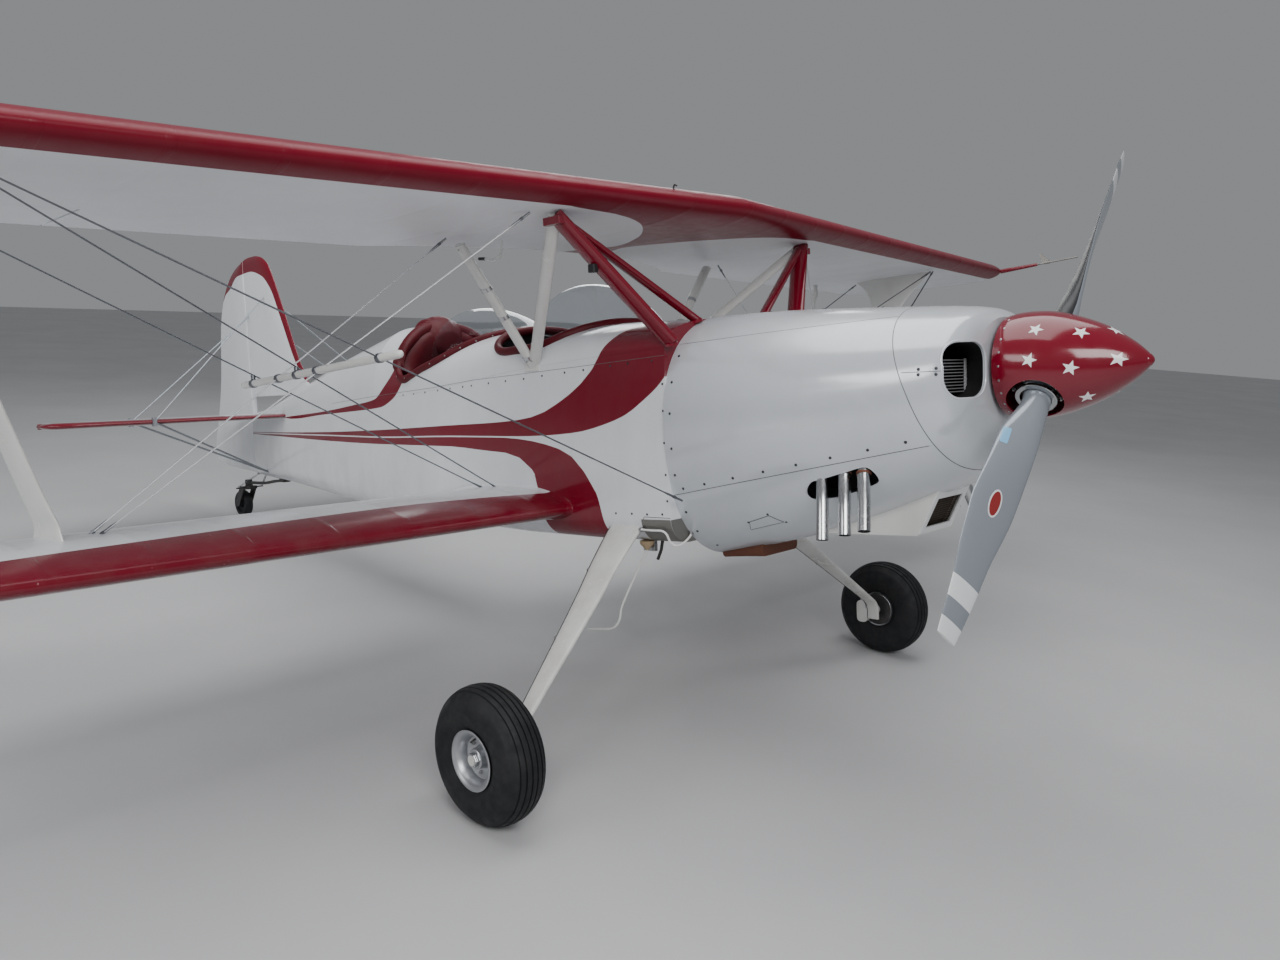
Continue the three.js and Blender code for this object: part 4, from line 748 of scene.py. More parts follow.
def deck_height(x, y=0.0):
    half, _, longeron, deck = station(x)
    across = min(abs(y) / half, 1.0)
    return longeron + (deck - longeron) * (1 - across ** (2 / 0.86)) ** 0.43


def deck_point(x, y):
    """A point of the deck and the way it faces."""
    step = 4.0
    slope_x = (deck_height(x + step, y) - deck_height(x - step, y)) / (2 * step)
    slope_y = (deck_height(x, y + step) - deck_height(x, y - step)) / (2 * step)
    return np.array([x, y, deck_height(x, y)]), np.array([-slope_x, -slope_y, 1.0])


def hull_ring(x, inset=0.0, top=None, floor=None, rows=9, arc=12):
    half, belly, longeron, _ = station(x)
    top = longeron if top is None else top
    half, belly = half - inset, belly + inset if floor is None else floor
    radius = min(BELLY_RADIUS - inset / 2, half * 0.8)
    side = [(half + 32 * t * (1 - t), belly + radius + t * (top - belly - radius))
            for t in np.linspace(1, 0, rows, endpoint=False)]
    side += [(half - radius + radius * math.cos(a), belly + radius - radius * math.sin(a))
             for a in np.linspace(0, math.pi / 2, arc + 1)]
    return [(x, y, z) for y, z in side + [(-y, z) for y, z in reversed(side)]]


def hull_point(x, z, side=1):
    """A point of the fuselage's flat side and the way it faces."""
    half, belly, longeron, _ = station(x)
    base = belly + min(BELLY_RADIUS, half * 0.8)
    t = np.clip((z - base) / (longeron - base), 0, 1)
    slope = (station(x + 5)[0] - station(x - 5)[0]) / 10
    return np.array([x, side * (half + 32 * t * (1 - t)), z]), np.array([-slope, side, 0.0])


def deck_ring(x, inset, base, steps=56):
    half, _, _, deck = station(x)
    angle = np.linspace(0, math.pi, steps + 1)
    c, s = np.cos(angle), np.abs(np.sin(angle))
    y = (half - inset) * signed(c, 0.86)
    return np.stack([np.full(steps + 1, x), y, base + (deck - inset - base) * s ** 0.86], 1)


def spread(fore, aft, step=110.0):
    """Stations between two, with every given fuselage station among them."""
    inner = [x for x in FUSELAGE[:, 0] if aft < x < fore]
    marks = [fore] + inner + [aft]
    out = []
    for a, b in zip(marks[:-1], marks[1:]):
        out += list(np.linspace(a, b, max(int(round((a - b) / step)), 1), endpoint=False))
    return out + [aft]


def cockpit_outline(name, points=104):
    fore, aft, half = COCKPITS[name]
    middle, reach = (fore + aft) / 2, (fore - aft) / 2
    out = []
    for c, s in circle(points):
        power = 2 / (2.6 if c > 0 else 4)
        x, y = middle + reach * signed(c, power), half * signed(s, power)
        if name == "rear" and c < 0:
            share = (y / half) ** 2
            x += abs(c) ** power * (1 - share) * (REAR_BOW[0] + REAR_BOW[1] * share)
        out.append((x, y))
    return np.array(out)


def prism(outline, low, high, axis=2):
    """An outline set upright between two heights along an axis."""
    return loft([np.insert(np.asarray(outline, float), axis, level, axis=1) for level in (low, high)])


def rounded(low, high, corner, steps=8):
    """A rectangle with round corners."""
    out = []
    for right, upper, start in ((1, 1, 0), (0, 1, 90), (0, 0, 180), (1, 0, 270)):
        for i in range(steps + 1):
            angle = math.radians(start + i * 90 / steps)
            out.append(((high[0] - corner if right else low[0] + corner) + corner * math.cos(angle),
                        (high[1] - corner if upper else low[1] + corner) + corner * math.sin(angle)))
    return np.array(out)


bay = loft([hull_ring(x, FUSELAGE_WALL, station(x)[2] + 40, BAY[2]) for x in spread(BAY[0], BAY[1])])
tube_tunnel = bar((ELEVATOR_HINGE_X, -120, STABILISER_Z), (ELEVATOR_HINGE_X, 120, STABILISER_Z), 23, sides=32)
hull = carved(loft([hull_ring(x) for x in spread(FIREWALL_X, -4058)]), [bay, tube_tunnel])
piece("fuselage_skin", hull, fuselage_paint, replaces=["fuselage"], angle=35)

lining = [hull_ring(x, FUSELAGE_WALL + 1, station(x)[2] - 4, BAY[2] + 1.5) for x in spread(BAY[0] - 2, BAY[1] + 2)]
piece("cockpit_lining", loft(lining, caps=False, round_ring=False), black_paint)

deck_outer = loft([deck_ring(x, 0, station(x)[2] + 0.4) for x in spread(FIREWALL_X, DECK_SPLIT_X + 0.4)])
deck_inner = loft([deck_ring(x, DECK_WALL, station(x)[2] - 30) for x in spread(FIREWALL_X - 28, DECK_SPLIT_X + 20)])
holes = [prism(cockpit_outline(name), 1400, 1900) for name in COCKPITS]
piece("deck_skin", carved(deck_outer, [deck_inner] + holes), fuselage_paint, replaces=["forward_deck"], angle=35)
turtledeck = loft([deck_ring(x, 0, station(x)[2] + 0.4) for x in spread(DECK_SPLIT_X, -4058)])
piece("turtledeck_skin", carved(turtledeck, [tube_tunnel]), fuselage_paint, replaces=["turtledeck"], angle=35)

# Cowling

COWL_FINE = spline(COWL, 6)
COWL_FINE = COWL_FINE[np.concatenate([[True], np.diff(COWL_FINE[:, 0]) > 0.5])]
COWL_POWER = 2.35


def cowl_row(x):
    return row_at(COWL_FINE, x)


def cowl_ring(x, row, inset=0.0, points=112):
    half, top, middle, bottom = row
    angle = turns(points)
    c, s = np.cos(angle), np.sin(angle)
    rise = np.where(s > 0, top - middle, middle - bottom) - inset
    y = (half - inset) * signed(c, 2 / COWL_POWER)
    z = middle + rise * signed(s, 2 / COWL_POWER)
    return np.stack([np.full(points, float(x)), y, z], 1)


def cowl_at(x, angle):
    """A point of the cowl at an angle round it from the port side, and the way it faces."""
    def place(x, angle):
        half, top, middle, bottom = cowl_row(x)
        c, s = math.cos(angle), math.sin(angle)
        rise = top - middle if s > 0 else middle - bottom
        return np.array([x, half * signed(c, 2 / COWL_POWER), middle + rise * signed(s, 2 / COWL_POWER)])

    p = place(x, angle)
    along = place(x + 2, angle) - place(x - 2, angle)
    round_it = place(x, angle + 0.01) - place(x, angle - 0.01)
    normal = np.cross(round_it, along)
    if normal @ (p - [x, 0, cowl_row(x)[2]]) < 0:
        normal = -normal
    return p, unit(normal)


def cowl_level(x, z, side):
    """The cowl's side at a height."""
    half, top, middle, bottom = cowl_row(x)
    rise = top - middle if z > middle else middle - bottom
    s = np.sign(z - middle) * min(abs(z - middle) / rise, 1) ** (COWL_POWER / 2)
    angle = math.asin(max(min(s, 1), -1))
    return cowl_at(x, angle if side > 0 else math.pi - angle)


def inside_cowl(x, y, z):
    half, top, middle, bottom = cowl_row(x)
    rise = top - middle if z > middle else middle - bottom
    return abs(y / half) ** COWL_POWER + abs((z - middle) / rise) ** COWL_POWER < 1


def inlet_outline(side, grow=0.0):
    y, z, width, height, corner = INLET
    low = (side * y - width / 2 - grow, z - height / 2 - grow)
    return rounded(low, (low[0] + width + 2 * grow, low[1] + height + 2 * grow), corner + grow, 12)


INLET_TRUE_X, INLET_FLARE = 1165, 0.5         # where the outline is true, and how fast it widens


def inlet_place(x, y, z, side):
    """A point of an inlet's edge: the hole widens outboard as it comes forward."""
    share = (abs(y) - (INLET[0] - INLET[2] / 2)) / INLET[2]
    return x, y + side * share * (x - INLET_TRUE_X) * INLET_FLARE, z


def inlet_cutter(side):
    return loft([[inlet_place(x, y, z, side) for y, z in inlet_outline(side)] for x in (1060, 1300)])


def nose_seam(z):
    """X of the seam behind the nose bowl, at a height."""
    return 1025 - 0.39 * (z - 1400)


def side_seam(x):
    """Height of the seam between upper and lower cowl."""
    return 963 + 0.191 * x


def slanted_block(shift, reach):
    corners = [(nose_seam(600) + shift, 600), (reach, 600), (reach, 1800), (nose_seam(1800) + shift, 1800)]
    return loft([[(x, y, z) for x, z in corners] for y in (-600, 600)])


def below_seam(shift):
    corners = [(0, 500), (1400, 500), (1400, side_seam(1400) + shift), (0, side_seam(0) + shift)]
    return loft([[(x, y, z) for x, z in corners] for y in (-600, 600)])


outer = loft([cowl_ring(r[0], r[1:]) for r in COWL_FINE])
inner = loft([cowl_ring(r[0] - (9 if r[0] > 1100 else 5 if r[0] < 100 else 0), r[1:], COWL_WALL) for r in COWL_FINE])
cuts = [inner, bar((1150, 0, PROP_Z), (1260, 0, PROP_Z), 110, sides=48)]
for _, side in SIDES:
    cuts.append(inlet_cutter(side))
    cuts.append(prism(spline(STACK_SLOT, 4, True), *sorted((side * 180, side * 470)), axis=1))
shell = carved(outer, cuts)
bowl = carved(shell, [slanted_block(0.4, 1400)], "INTERSECT")
barrel = carved(shell, [slanted_block(0.0, 1400)])
for name, shape in (("nose_bowl", bowl), ("cowl_lower", carved(barrel, [below_seam(0.0)], "INTERSECT")),
                    ("cowl_upper", carved(barrel, [below_seam(0.4)]))):
    piece(name + "_skin", shape, cowl_paint, replaces=[name], angle=32)

path = []
for angle in np.linspace(0.0, 2 * math.pi, 120, endpoint=False):
    x = 1025.0
    for _ in range(12):                  # settles on the seam's plane
        x = nose_seam(cowl_at(x, angle)[0][2])
    path.append(cowl_at(x, angle))
seams = [ribbon(path, 2.6, 0.25, closed=True)]
for _, side in SIDES:
    path = [cowl_level(x, side_seam(x), side) for x in np.linspace(100, 1098, 50)]
    seams.append(ribbon(path, 2.6, 0.25))
HINGE_LINE = np.array([(100, 1545.5), (285, 1554), (459, 1563), (744, 1576), (872, 1582), (1000, 1586), (1120, 1588)])


def hinge_line(x):
    return row_at(HINGE_LINE, x)[0]


for _, side in SIDES:
    for level, fore, aft in ((hinge_line, 950, 100), (lambda x: 1402, 1158, 1034)):
        path = [cowl_level(x, level(x), side) for x in np.linspace(aft, fore, 40)]
        seams.append(ribbon(path, 2.0, 0.25))
piece("cowl_seams", merged(*seams), seam_dark)

rivets = []
for _, side in SIDES:
    rivets += [cowl_level(x, 980 + 0.199 * x, side) for x in (147, 251, 383, 514, 647, 777, 909, 1034)]
    rivets += [cowl_level(x, z, side) for x, z in ((123, 1501), (121, 1405), (121, 1290), (121, 1160), (121, 1060),
                                                   (124, 915), (128, 835), (150, 770))]
    rivets += [cowl_level(x, z, side) for x, z in ((1089, 1410), (1089, 1394), (1142, 1411), (1142, 1393))]
    rivets += [cowl_at(x, math.pi / 2 - side * 0.10) for x in (330, 560, 800)]
piece("cowl_screws", studs(rivets, 5.2, 2.2, 12), screw_dark)

PANEL_CORNERS = [(379, 887), (470, 916), (508, 891), (359, 853)]


def cowl_patch(corners, side, proud, rows=8):
    """A thin sheet on the side of the cowl inside four corners."""
    grid = []
    a, b, c, d = floats(*corners)
    for v in np.linspace(0, 1, rows):
        line = []
        for u in np.linspace(0, 1, rows):
            x, z = (a * (1 - u) + b * u) * (1 - v) + (d * (1 - u) + c * u) * v
            p, n = cowl_level(x, z, side)
            line.append(p + n * proud)
        grid.append(line)
    grid = np.array(grid)
    rim = np.concatenate([grid[0, :-1], grid[:-1, -1], grid[-1, :0:-1], grid[:0:-1, 0]])
    return grid, rim


for name, side in SIDES:
    grid, rim = cowl_patch(PANEL_CORNERS, side, 1.2)
    piece(f"cowl_access_panel_{name}", loft(grid, caps=False, round_ring=False), cowl_paint)
    piece(f"cowl_panel_edge_{name}", tube(rim, 1.1, 6, closed=True), seam_dark)
    latch = [cowl_level(x, z, side) for x, z in ((372, 884), (468, 921), (515, 890))]
    piece(f"cowl_panel_latches_{name}", studs(latch, 4.5, 2.0, 12), screw_dark)

# Air inlets: a rolled lip, a duct in near black for painted shade, and the finned heads behind it on a block of
# painted shade

for name, side in SIDES:
    lip = []
    for y, z in inlet_outline(side, 2.5):
        near, far = 1060.0, 1214.0
        for _ in range(24):              # halves in on the cowl's skin
            spot = inlet_place((near + far) / 2, y, z, side)
            near, far = (spot[0], far) if inside_cowl(*spot) else (near, spot[0])
        lip.append((spot[0] - 2.0, spot[1], z))
    lip = np.array(lip)
    piece(f"inlet_lip_{name}", tube(lip, 4.0, 14, closed=True), cowl_paint)
    deep = np.array([(1010, y - side * 130 * (1 - (abs(y) - 168) / 180), z) for y, z in inlet_outline(side, 4)])
    duct = [lip + (deep - lip) * t for t in (0.0, 0.3, 0.65, 1.0)]
    # The duct's near black is painted shade inside the inlet.
    piece(f"inlet_duct_{name}", loft(duct, caps=False), painted_shade_dark)
    fins = [side_box(side, (1015, 76, z), (1126, 300, z + 3.4)) for z in np.arange(1334, 1438, 10.0)]
    fins += [bar((1124, side * y, 1330), (1124, side * y, 1440), 3.4, sides=12) for y in (80, 116, 124)]
    piece(f"cylinder_fins_{name}", merged(*fins), fin_alloy, bevel=0.8)
    # A near-black block behind the fins: painted shade between and behind them.
    fin_shade_block = side_box(side, (1004, 170, 1316), (1040, 318, 1466))
    piece(f"cylinder_fin_painted_shade_{name}", fin_shade_block, painted_shade_dark, bevel=3)


# Wings

def aerofoil(steps=40):
    """From the trailing edge over the top and back underneath, as shares of the chord."""
    t = (1 - np.cos(np.linspace(0, 1, steps + 1) * math.pi)) / 2
    camber, peak = 0.024, 0.4
    line = np.where(t < peak, camber / peak ** 2 * (2 * peak * t - t * t),
                    camber / (1 - peak) ** 2 * (1 - 2 * peak + 2 * peak * t - t * t))
    half = 0.6 * (0.2969 * np.sqrt(t) - 0.126 * t - 0.3516 * t ** 2 + 0.2843 * t ** 3 - 0.1036 * t ** 4) + 0.0022 * t
    return np.concatenate([np.stack([t, line + half], 1)[::-1], np.stack([t, line - half], 1)[1:]])


TIP_CENTRE = 0.24
TIP_LENGTH = 190
TIP = spline([(-TIP_LENGTH, 0), (-90, 0.05), (-30, 0.17), (0, 0.36)], 7)        # reach, share of the chord lost


def wing_ring(wing, y, shrink=0.0, flat=1.0, steps=40):
    span = abs(y)
    section = aerofoil(steps)
    across = TIP_CENTRE + (section[:, 0] - TIP_CENTRE) * (1 - shrink)
    height = section[:, 1] * (1 - shrink * 0.75) * flat
    return np.stack([wing["le"] - wing["sweep"] * span - across * wing["chord"], np.full(len(section), float(y)),
                     wing["z"] + wing["dihedral"] * span - across * wing["drop"] + height * wing["chord"]], 1)


def wing_panel(wing, start, side):
    rings = [wing_ring(wing, side * y) for y in np.linspace(start, wing["tip"] - TIP_LENGTH, 12)[:-1]]
    for reach, shrink in TIP[:-1]:
        rings.append(wing_ring(wing, side * (wing["tip"] + reach), max(shrink, 0.0)))
    for drop, flat in ((7, 0.96), (3, 0.82), (1, 0.62), (0, 0.35)):
        rings.append(wing_ring(wing, side * (wing["tip"] - drop), 0.36 - drop * 0.006, flat))
    return loft(rings)


def hinge_at(wing, y):
    """The hinge line's x and z at a span distance, and half the wing's thickness there."""
    ring = wing_ring(wing, y, steps=11)
    x = wing["le"] - wing["sweep"] * abs(y) - HINGE_SHARE * wing["chord"]
    crossing = []
    for a, b in zip(ring, np.roll(ring, -1, 0)):
        if (a[0] - x) * (b[0] - x) < 0:
            crossing.append(a[2] + (b[2] - a[2]) * (x - a[0]) / (b[0] - a[0]))
    return x, (max(crossing) + min(crossing)) / 2, (max(crossing) - min(crossing)) / 2


def hinge_region(wing, start, end, extra):
    rings = []
    for y in (start, end):
        x, z, radius = hinge_at(wing, y)
        nose = [(x + (radius + extra) * math.cos(a), y, z + (radius + extra) * math.sin(a))
                for a in np.linspace(math.pi / 2, -math.pi / 2, 21)]
        rings.append([(x, y, z + 130)] + nose + [(x, y, z - 130), (x - 600, y, z - 130), (x - 600, y, z + 130)])
    return loft(rings)


arc = [(-755 - 245 * a ** 2, 790 * a) for a in np.linspace(-1.25, 1.25, 61)]
notch = prism(arc + [(-1400, 987.5), (-1400, -987.5)], 1800, 2200)
centre = carved(loft([wing_ring(UPPER, y) for y in np.linspace(-761.6, 761.6, 9)]), [notch])
piece("upper_wing_centre_skin", centre, upper_paint, replaces=["upper_wing_centre"], angle=35)

ROD_Y = 2500
ROD_SWEEP = math.atan(UPPER["sweep"])
TOP_PIN = np.add(hinge_at(UPPER, ROD_Y)[:2], (-164, -62))       # the aileron rods' pins: x, z
LOW_PIN = np.add(hinge_at(LOWER, ROD_Y)[:2], (-135, 58))


def lug(pin, toward, turn, side):
    """A flat eye on an aileron, with its tongue running into the surface."""
    boss = turned([(5.6, -4), (12, -4), (13, -3), (13, 3), (12, 4), (5.6, 4)], (0, 0, 0), (0, 1, 0), 32)
    tongue = box((-15, -4, min(8 * np.sign(toward), toward)), (15, 4, max(8 * np.sign(toward), toward)))
    points, faces = merged(boss, tongue)
    c, s = math.cos(turn), math.sin(turn)
    return points @ np.array([[c, s, 0], [-s, c, 0], [0, 0, 1]]) + [pin[0], side * ROD_Y, pin[1]], faces


for name, side in SIDES:
    for level, wing, start, paint in (("upper", UPPER, UPPER["root"] + 0.4, upper_paint),
                                      ("lower", LOWER, 392, lower_paint)):
        inboard, outboard = AILERON_SPAN[level]
        panel = wing_panel(wing, start, side)
        if level == "upper":
            panel = carved(panel, [notch])
            eye = lug(TOP_PIN, 54, side * ROD_SWEEP, side)
        else:
            eye = lug(LOW_PIN, -50, 0.0, side)
        fixed = carved(panel, [hinge_region(wing, side * inboard, side * outboard, HINGE_GAP)])
        inside = hinge_region(wing, side * (inboard + HINGE_GAP), side * (outboard - HINGE_GAP), 0)
        flap = carved(panel, [inside], "INTERSECT")
        piece(f"{level}_wing_{name}_skin", fixed, paint,
              replaces=[f"{level}_wing_{name}"], angle=35)
        piece(f"{level}_aileron_{name}_skin", merged(flap, eye), paint, f"{level}_{name}_aileron",
              [f"{level}_aileron_{name}"], 35)


# Struts

def strut(start, end, chord, thickness, sides=28):
    start, end = floats(start, end)
    axis = unit(end - start)
    fore = unit([1.0, 0, 0] - axis * axis[0])
    across = np.cross(axis, fore)
    angle = turns(sides)
    return loft([c + np.outer(np.cos(angle), fore) * chord / 2 + np.outer(np.sin(angle), across) * thickness / 2
                 for c in (start, end)])


CABANE = {"front_top": (-83, 762, 2008), "rear_top": (-643, 762, 1976), "apex": (-655, 400, 1496),
          "thick_foot": (118, 396, 1552), "thin_foot": (82, 205, 1642)}


def cabane_points(side):
    return {key: np.array(value, float) * [1, side, 1] for key, value in CABANE.items()}


for name, side in SIDES:
    p = cabane_points(side)
    plate = side_box(side, (-125, 742, 1972), (-40, 782, 2000))
    red = merged(strut(p["front_top"], p["thick_foot"], 82, 40), strut(p["front_top"], p["thin_foot"], 46, 28), plate)
    piece(f"cabane_red_struts_{name}", red, red_paint, replaces=[f"cabane_{name}"], bevel=1.5)
    foot = side_box(side, (-700, 396, 1478), (-610, 416, 1512))
    white = merged(strut(p["rear_top"], p["apex"], 52, 34), strut(p["front_top"], p["apex"], 52, 34), foot)
    piece(f"cabane_white_struts_{name}", white, white_paint, bevel=1.5)

STRUT_FRONT = [(958, -655), (1000, -712), (1060, -745), (1130, -742), (1200, -725), (1770, -545), (1830, -515),
               (1900, -470), (1970, -405), (2032, -330)]
STRUT_REAR = [(932, -1120), (990, -1020), (1070, -962), (1170, -928), (1260, -895), (1790, -730), (1850, -738),
              (1910, -765), (1970, -808), (2012, -860)]
for name, side in SIDES:
    rings = []
    rise = np.concatenate([np.linspace(0, 0.28, 18), np.linspace(0.28, 0.72, 8)[1:-1], np.linspace(0.72, 1, 18)])
    for t in rise:
        front_z, rear_z = 958 + t * (2032 - 958), 932 + t * (2012 - 932)
        front = np.array([eased_at(STRUT_FRONT, front_z), front_z])
        rear = np.array([eased_at(STRUT_REAR, rear_z), rear_z])
        z_mid = (front_z + rear_z) / 2
        y = 2222 + 338 * np.clip((z_mid - 1040) / 890, 0, 1)
        thick = 24 + 10 * math.sin(math.pi * t) ** 0.5
        ring = []
        for c, s in circle(32):
            x, z = rear + (front - rear) * (0.5 + 0.5 * c)
            ring.append((x, side * y + s * thick / 2 * (0.75 + 0.25 * c), z))
        rings.append(ring)
    piece(f"interplane_strut_{name}_skin", loft(rings), white_paint, replaces=[f"interplane_strut_{name}"])


# Propeller

def around(azimuth, radius, x):
    """A point round the propeller's axis; azimuth turns from straight up towards starboard."""
    return np.array([x, -radius * math.sin(azimuth), PROP_Z + radius * math.cos(azimuth)])


SPINNER_FINE = spline(SPINNER, 6)


def spinner_radius(ahead):
    return float(np.interp(ahead, SPINNER_FINE[:, 1], SPINNER_FINE[:, 0]))


def spinner_at(ahead, azimuth):
    slope = (spinner_radius(ahead + 3) - spinner_radius(ahead - 3)) / 6
    outward = np.array([0, -math.sin(azimuth), math.cos(azimuth)])
    return around(azimuth, spinner_radius(ahead), SPINNER_BACK + ahead), outward + np.array([-slope, 0, 0])


HUB = np.array([PROP_X, 0, PROP_Z], float)
AHEAD = np.array([1.0, 0, 0])
SPINNER_AXIS = ((SPINNER_BACK, 0, PROP_Z), (1, 0, 0))
BLADE_ROWS = spline(BLADE, 6)


def blade_section(radius, lead):
    """Chord, thickness, shift, the way along the chord and the way the face looks."""
    pitch = math.atan2(PROP_PITCH, 2 * math.pi * max(radius, 240))
    return (*row_at(BLADE_ROWS, radius), lead * math.cos(pitch) + AHEAD * math.sin(pitch),
            AHEAD * math.cos(pitch) - lead * math.sin(pitch))


def blade_way(turn):
    """The way a blade points, and the way its leading edge faces."""
    return (np.array([0, -turn * math.sin(PROP_AZIMUTH), -turn * math.cos(PROP_AZIMUTH)]),
            np.array([0, turn * math.cos(PROP_AZIMUTH), -turn * math.sin(PROP_AZIMUTH)]))


shape = [(0.01, 0), (158, 0), *SPINNER_FINE[:-1], (5, 421.5), (0.01, 422.4)]
hollow = [(0.01, 5), (154, 5)] + [(max(r - 5, 0.02), max(a - 3, 5.5)) for r, a in SPINNER_FINE[:-3]] + [(0.01, 404)]
cuts = [turned(hollow, *SPINNER_AXIS, 96, closed=False),
        bar((SPINNER_BACK - 5, 0, PROP_Z), (SPINNER_BACK + 20, 0, PROP_Z), 60, sides=48)]
for turn in (1, -1):
    cuts.append(bar(HUB, HUB + blade_way(turn)[0] * 260, 84, sides=64))
spinner = carved(turned(shape, *SPINNER_AXIS, 96, closed=False), cuts)
piece("spinner_skin", spinner, red_paint, "propeller", ["spinner"], 35)

STARS = [(125, 50), (246, 46), (119, 85), (230, 96), (346, 85.5), (257, 145), (319, 9), (246, 226), (230, 276),
         (346, 265.5), (119, 230), (119, 265), (257, 325), (319, 189)]


def star(ahead, azimuth, reach=24.0):
    """A thin five-point star lying on the spinner."""
    radius = spinner_radius(ahead)
    rows = []
    for share in (0.0, 0.34, 0.67, 1.0):
        ring = []
        for i in range(10):
            r = reach * share * (1.0 if i % 2 == 0 else 0.42)
            angle = i * math.pi / 5
            p, n = spinner_at(ahead + r * math.cos(angle), math.radians(azimuth) + r * math.sin(angle) / radius)
            ring.append(p + unit(n) * 0.45)
        rows.append(ring)
    return loft(rows, caps=False)


piece("spinner_stars", merged(*[star(a, z) for a, z in STARS]), star_white, "propeller")
screws = [spinner_at(24, math.radians(a)) for a in range(0, 360, 15)]
piece("spinner_screws", studs(screws, 4.2, 1.0), screw_zinc, "propeller")
tip = turned([(0.01, 423.6), (8, 421), (16, 415), (22, 406), (22.6, 402), (0.01, 402)], *SPINNER_AXIS, 40,
             closed=False)
piece("spinner_tip", tip, red_paint, "propeller")

TIP_STRIPES = ((968, 1019, "white"), (907, 968, "grey"), (838, 907, "white"))
for name, turn in (("lower", 1), ("upper", -1)):
    out, lead = blade_way(turn)
    marks = sorted(set([min(max(r, 119.0), 1018.0) for r in BLADE_ROWS[:, 0]] + [838.0, 907.0, 968.0]))
    rings = []
    for radius in marks:
        chord, thickness, shift, along, face = blade_section(radius, lead)
        angle = turns(40)
        rings.append(HUB + out * radius + along * shift + np.outer(np.cos(angle), along) * chord / 2
                     + np.outer(np.sin(angle), face) * thickness / 2)
    blade = piece(f"prop_blade_{name}_skin", loft(rings), [blade_grey, blade_black, blade_white], "propeller",
                  [f"prop_blade_{name}"], 50)
    middle = Vector(to_row(HUB)[0])
    out_row = Vector(to_row(out)[0]) - Vector(to_row((0, 0, 0))[0])
    for polygon in blade.data.polygons:
        radius = (polygon.center - middle).dot(out_row) * 1e6
        front = polygon.index % 40 < 20 or polygon.index >= 40 * (len(marks) - 1)
        tone = 0 if front else 1
        for start, end, paint in TIP_STRIPES:
            if front and start < radius < end:
                tone = 2 if paint == "white" else 0
        polygon.material_index = tone
    collar = merged(*[turned([(48, d), (61, d), (63, d + 2), (63, d + 10), (61, d + 12), (48, d + 12)],
                             HUB, out, 48) for d in (112, 134)])
    piece(f"blade_collar_{name}", collar, steel, "propeller")
    ears = []
    for tilt in (0.35, 1.2, 2.8, 3.5, 4.4, 5.9):
        base = HUB + (AHEAD * math.cos(tilt) + lead * math.sin(tilt)) * 71
        ears.append(bar(base + out * 96, base + out * 124, 6.5, sides=6))
        ears.append(bar(base + out * 124, base + out * 131, 3.6, sides=12))
    piece(f"blade_clamp_bolts_{name}", merged(*ears), screw_zinc, "propeller")

# Exhaust

PIPES = ((757, 862), (842, 884), (914, 902))        # x and the height of the open end
PIPE_SIDES, PIPE_BORE = 28, 46                      # how deep the open end is bored
for name, side in SIDES:
    pipes = [bar((650, side * 240, 1150), (850, side * 240, 1150), 24, sides=24)]
    for x, end in PIPES:
        path = spline([(x - 90, side * 240, 1150), (x - 68, side * 290, 1140), (x - 48, side * 318, 1105),
                       (x - 36, side * 340, 1050), (x - 20, side * 368, 980), (x - 4, side * 398, end)], 8)
        skin, _ = tube(path, 21, PIPE_SIDES, caps=False)
        rim, inside = path[-1], path[-1] - unit(path[-1] - path[-2]) * PIPE_BORE
        bore = (skin[-PIPE_SIDES:] - rim) * 0.9
        rings = np.concatenate([skin, bore + rim, bore + inside]).reshape(-1, PIPE_SIDES, 3)
        skin, faces = loft(rings, caps=False)
        pipes.append((skin, faces + [tuple(range(len(skin) - PIPE_SIDES, len(skin)))]))
    piece(f"exhaust_{name}_pipes", merged(*pipes), steel, replaces=[f"exhaust_{name}"])

# Landing gear

LEG = [(-168, 330, 876, 172, 25), (-153, 400, 841, 166, 25), (-110, 560, 732, 141, 24), (-70, 700, 624, 119, 24),
       (-24, 900, 468, 90, 22), (20, 1100, 312, 64, 20), (27, 1148, 272, 62, 20), (30, 1162, 236, 62, 20),
       (30, 1162, AXLE_Z - 42, 62, 20)]
TREAD = [(0, 231), (22, 229), (48, 220), (72, 196)]         # across, radius


def leg_ring(row, side, run):
    x, y, z, chord, thick = row
    normal = np.array([-run[1], run[0]]) / np.hypot(*run)
    out = []
    for c, s in circle(28):
        fore, up = signed(c, 0.55), signed(s, 0.7)
        out.append((x + fore * chord / 2, side * (y + normal[0] * up * thick / 2), z + normal[1] * up * thick / 2))
    return out


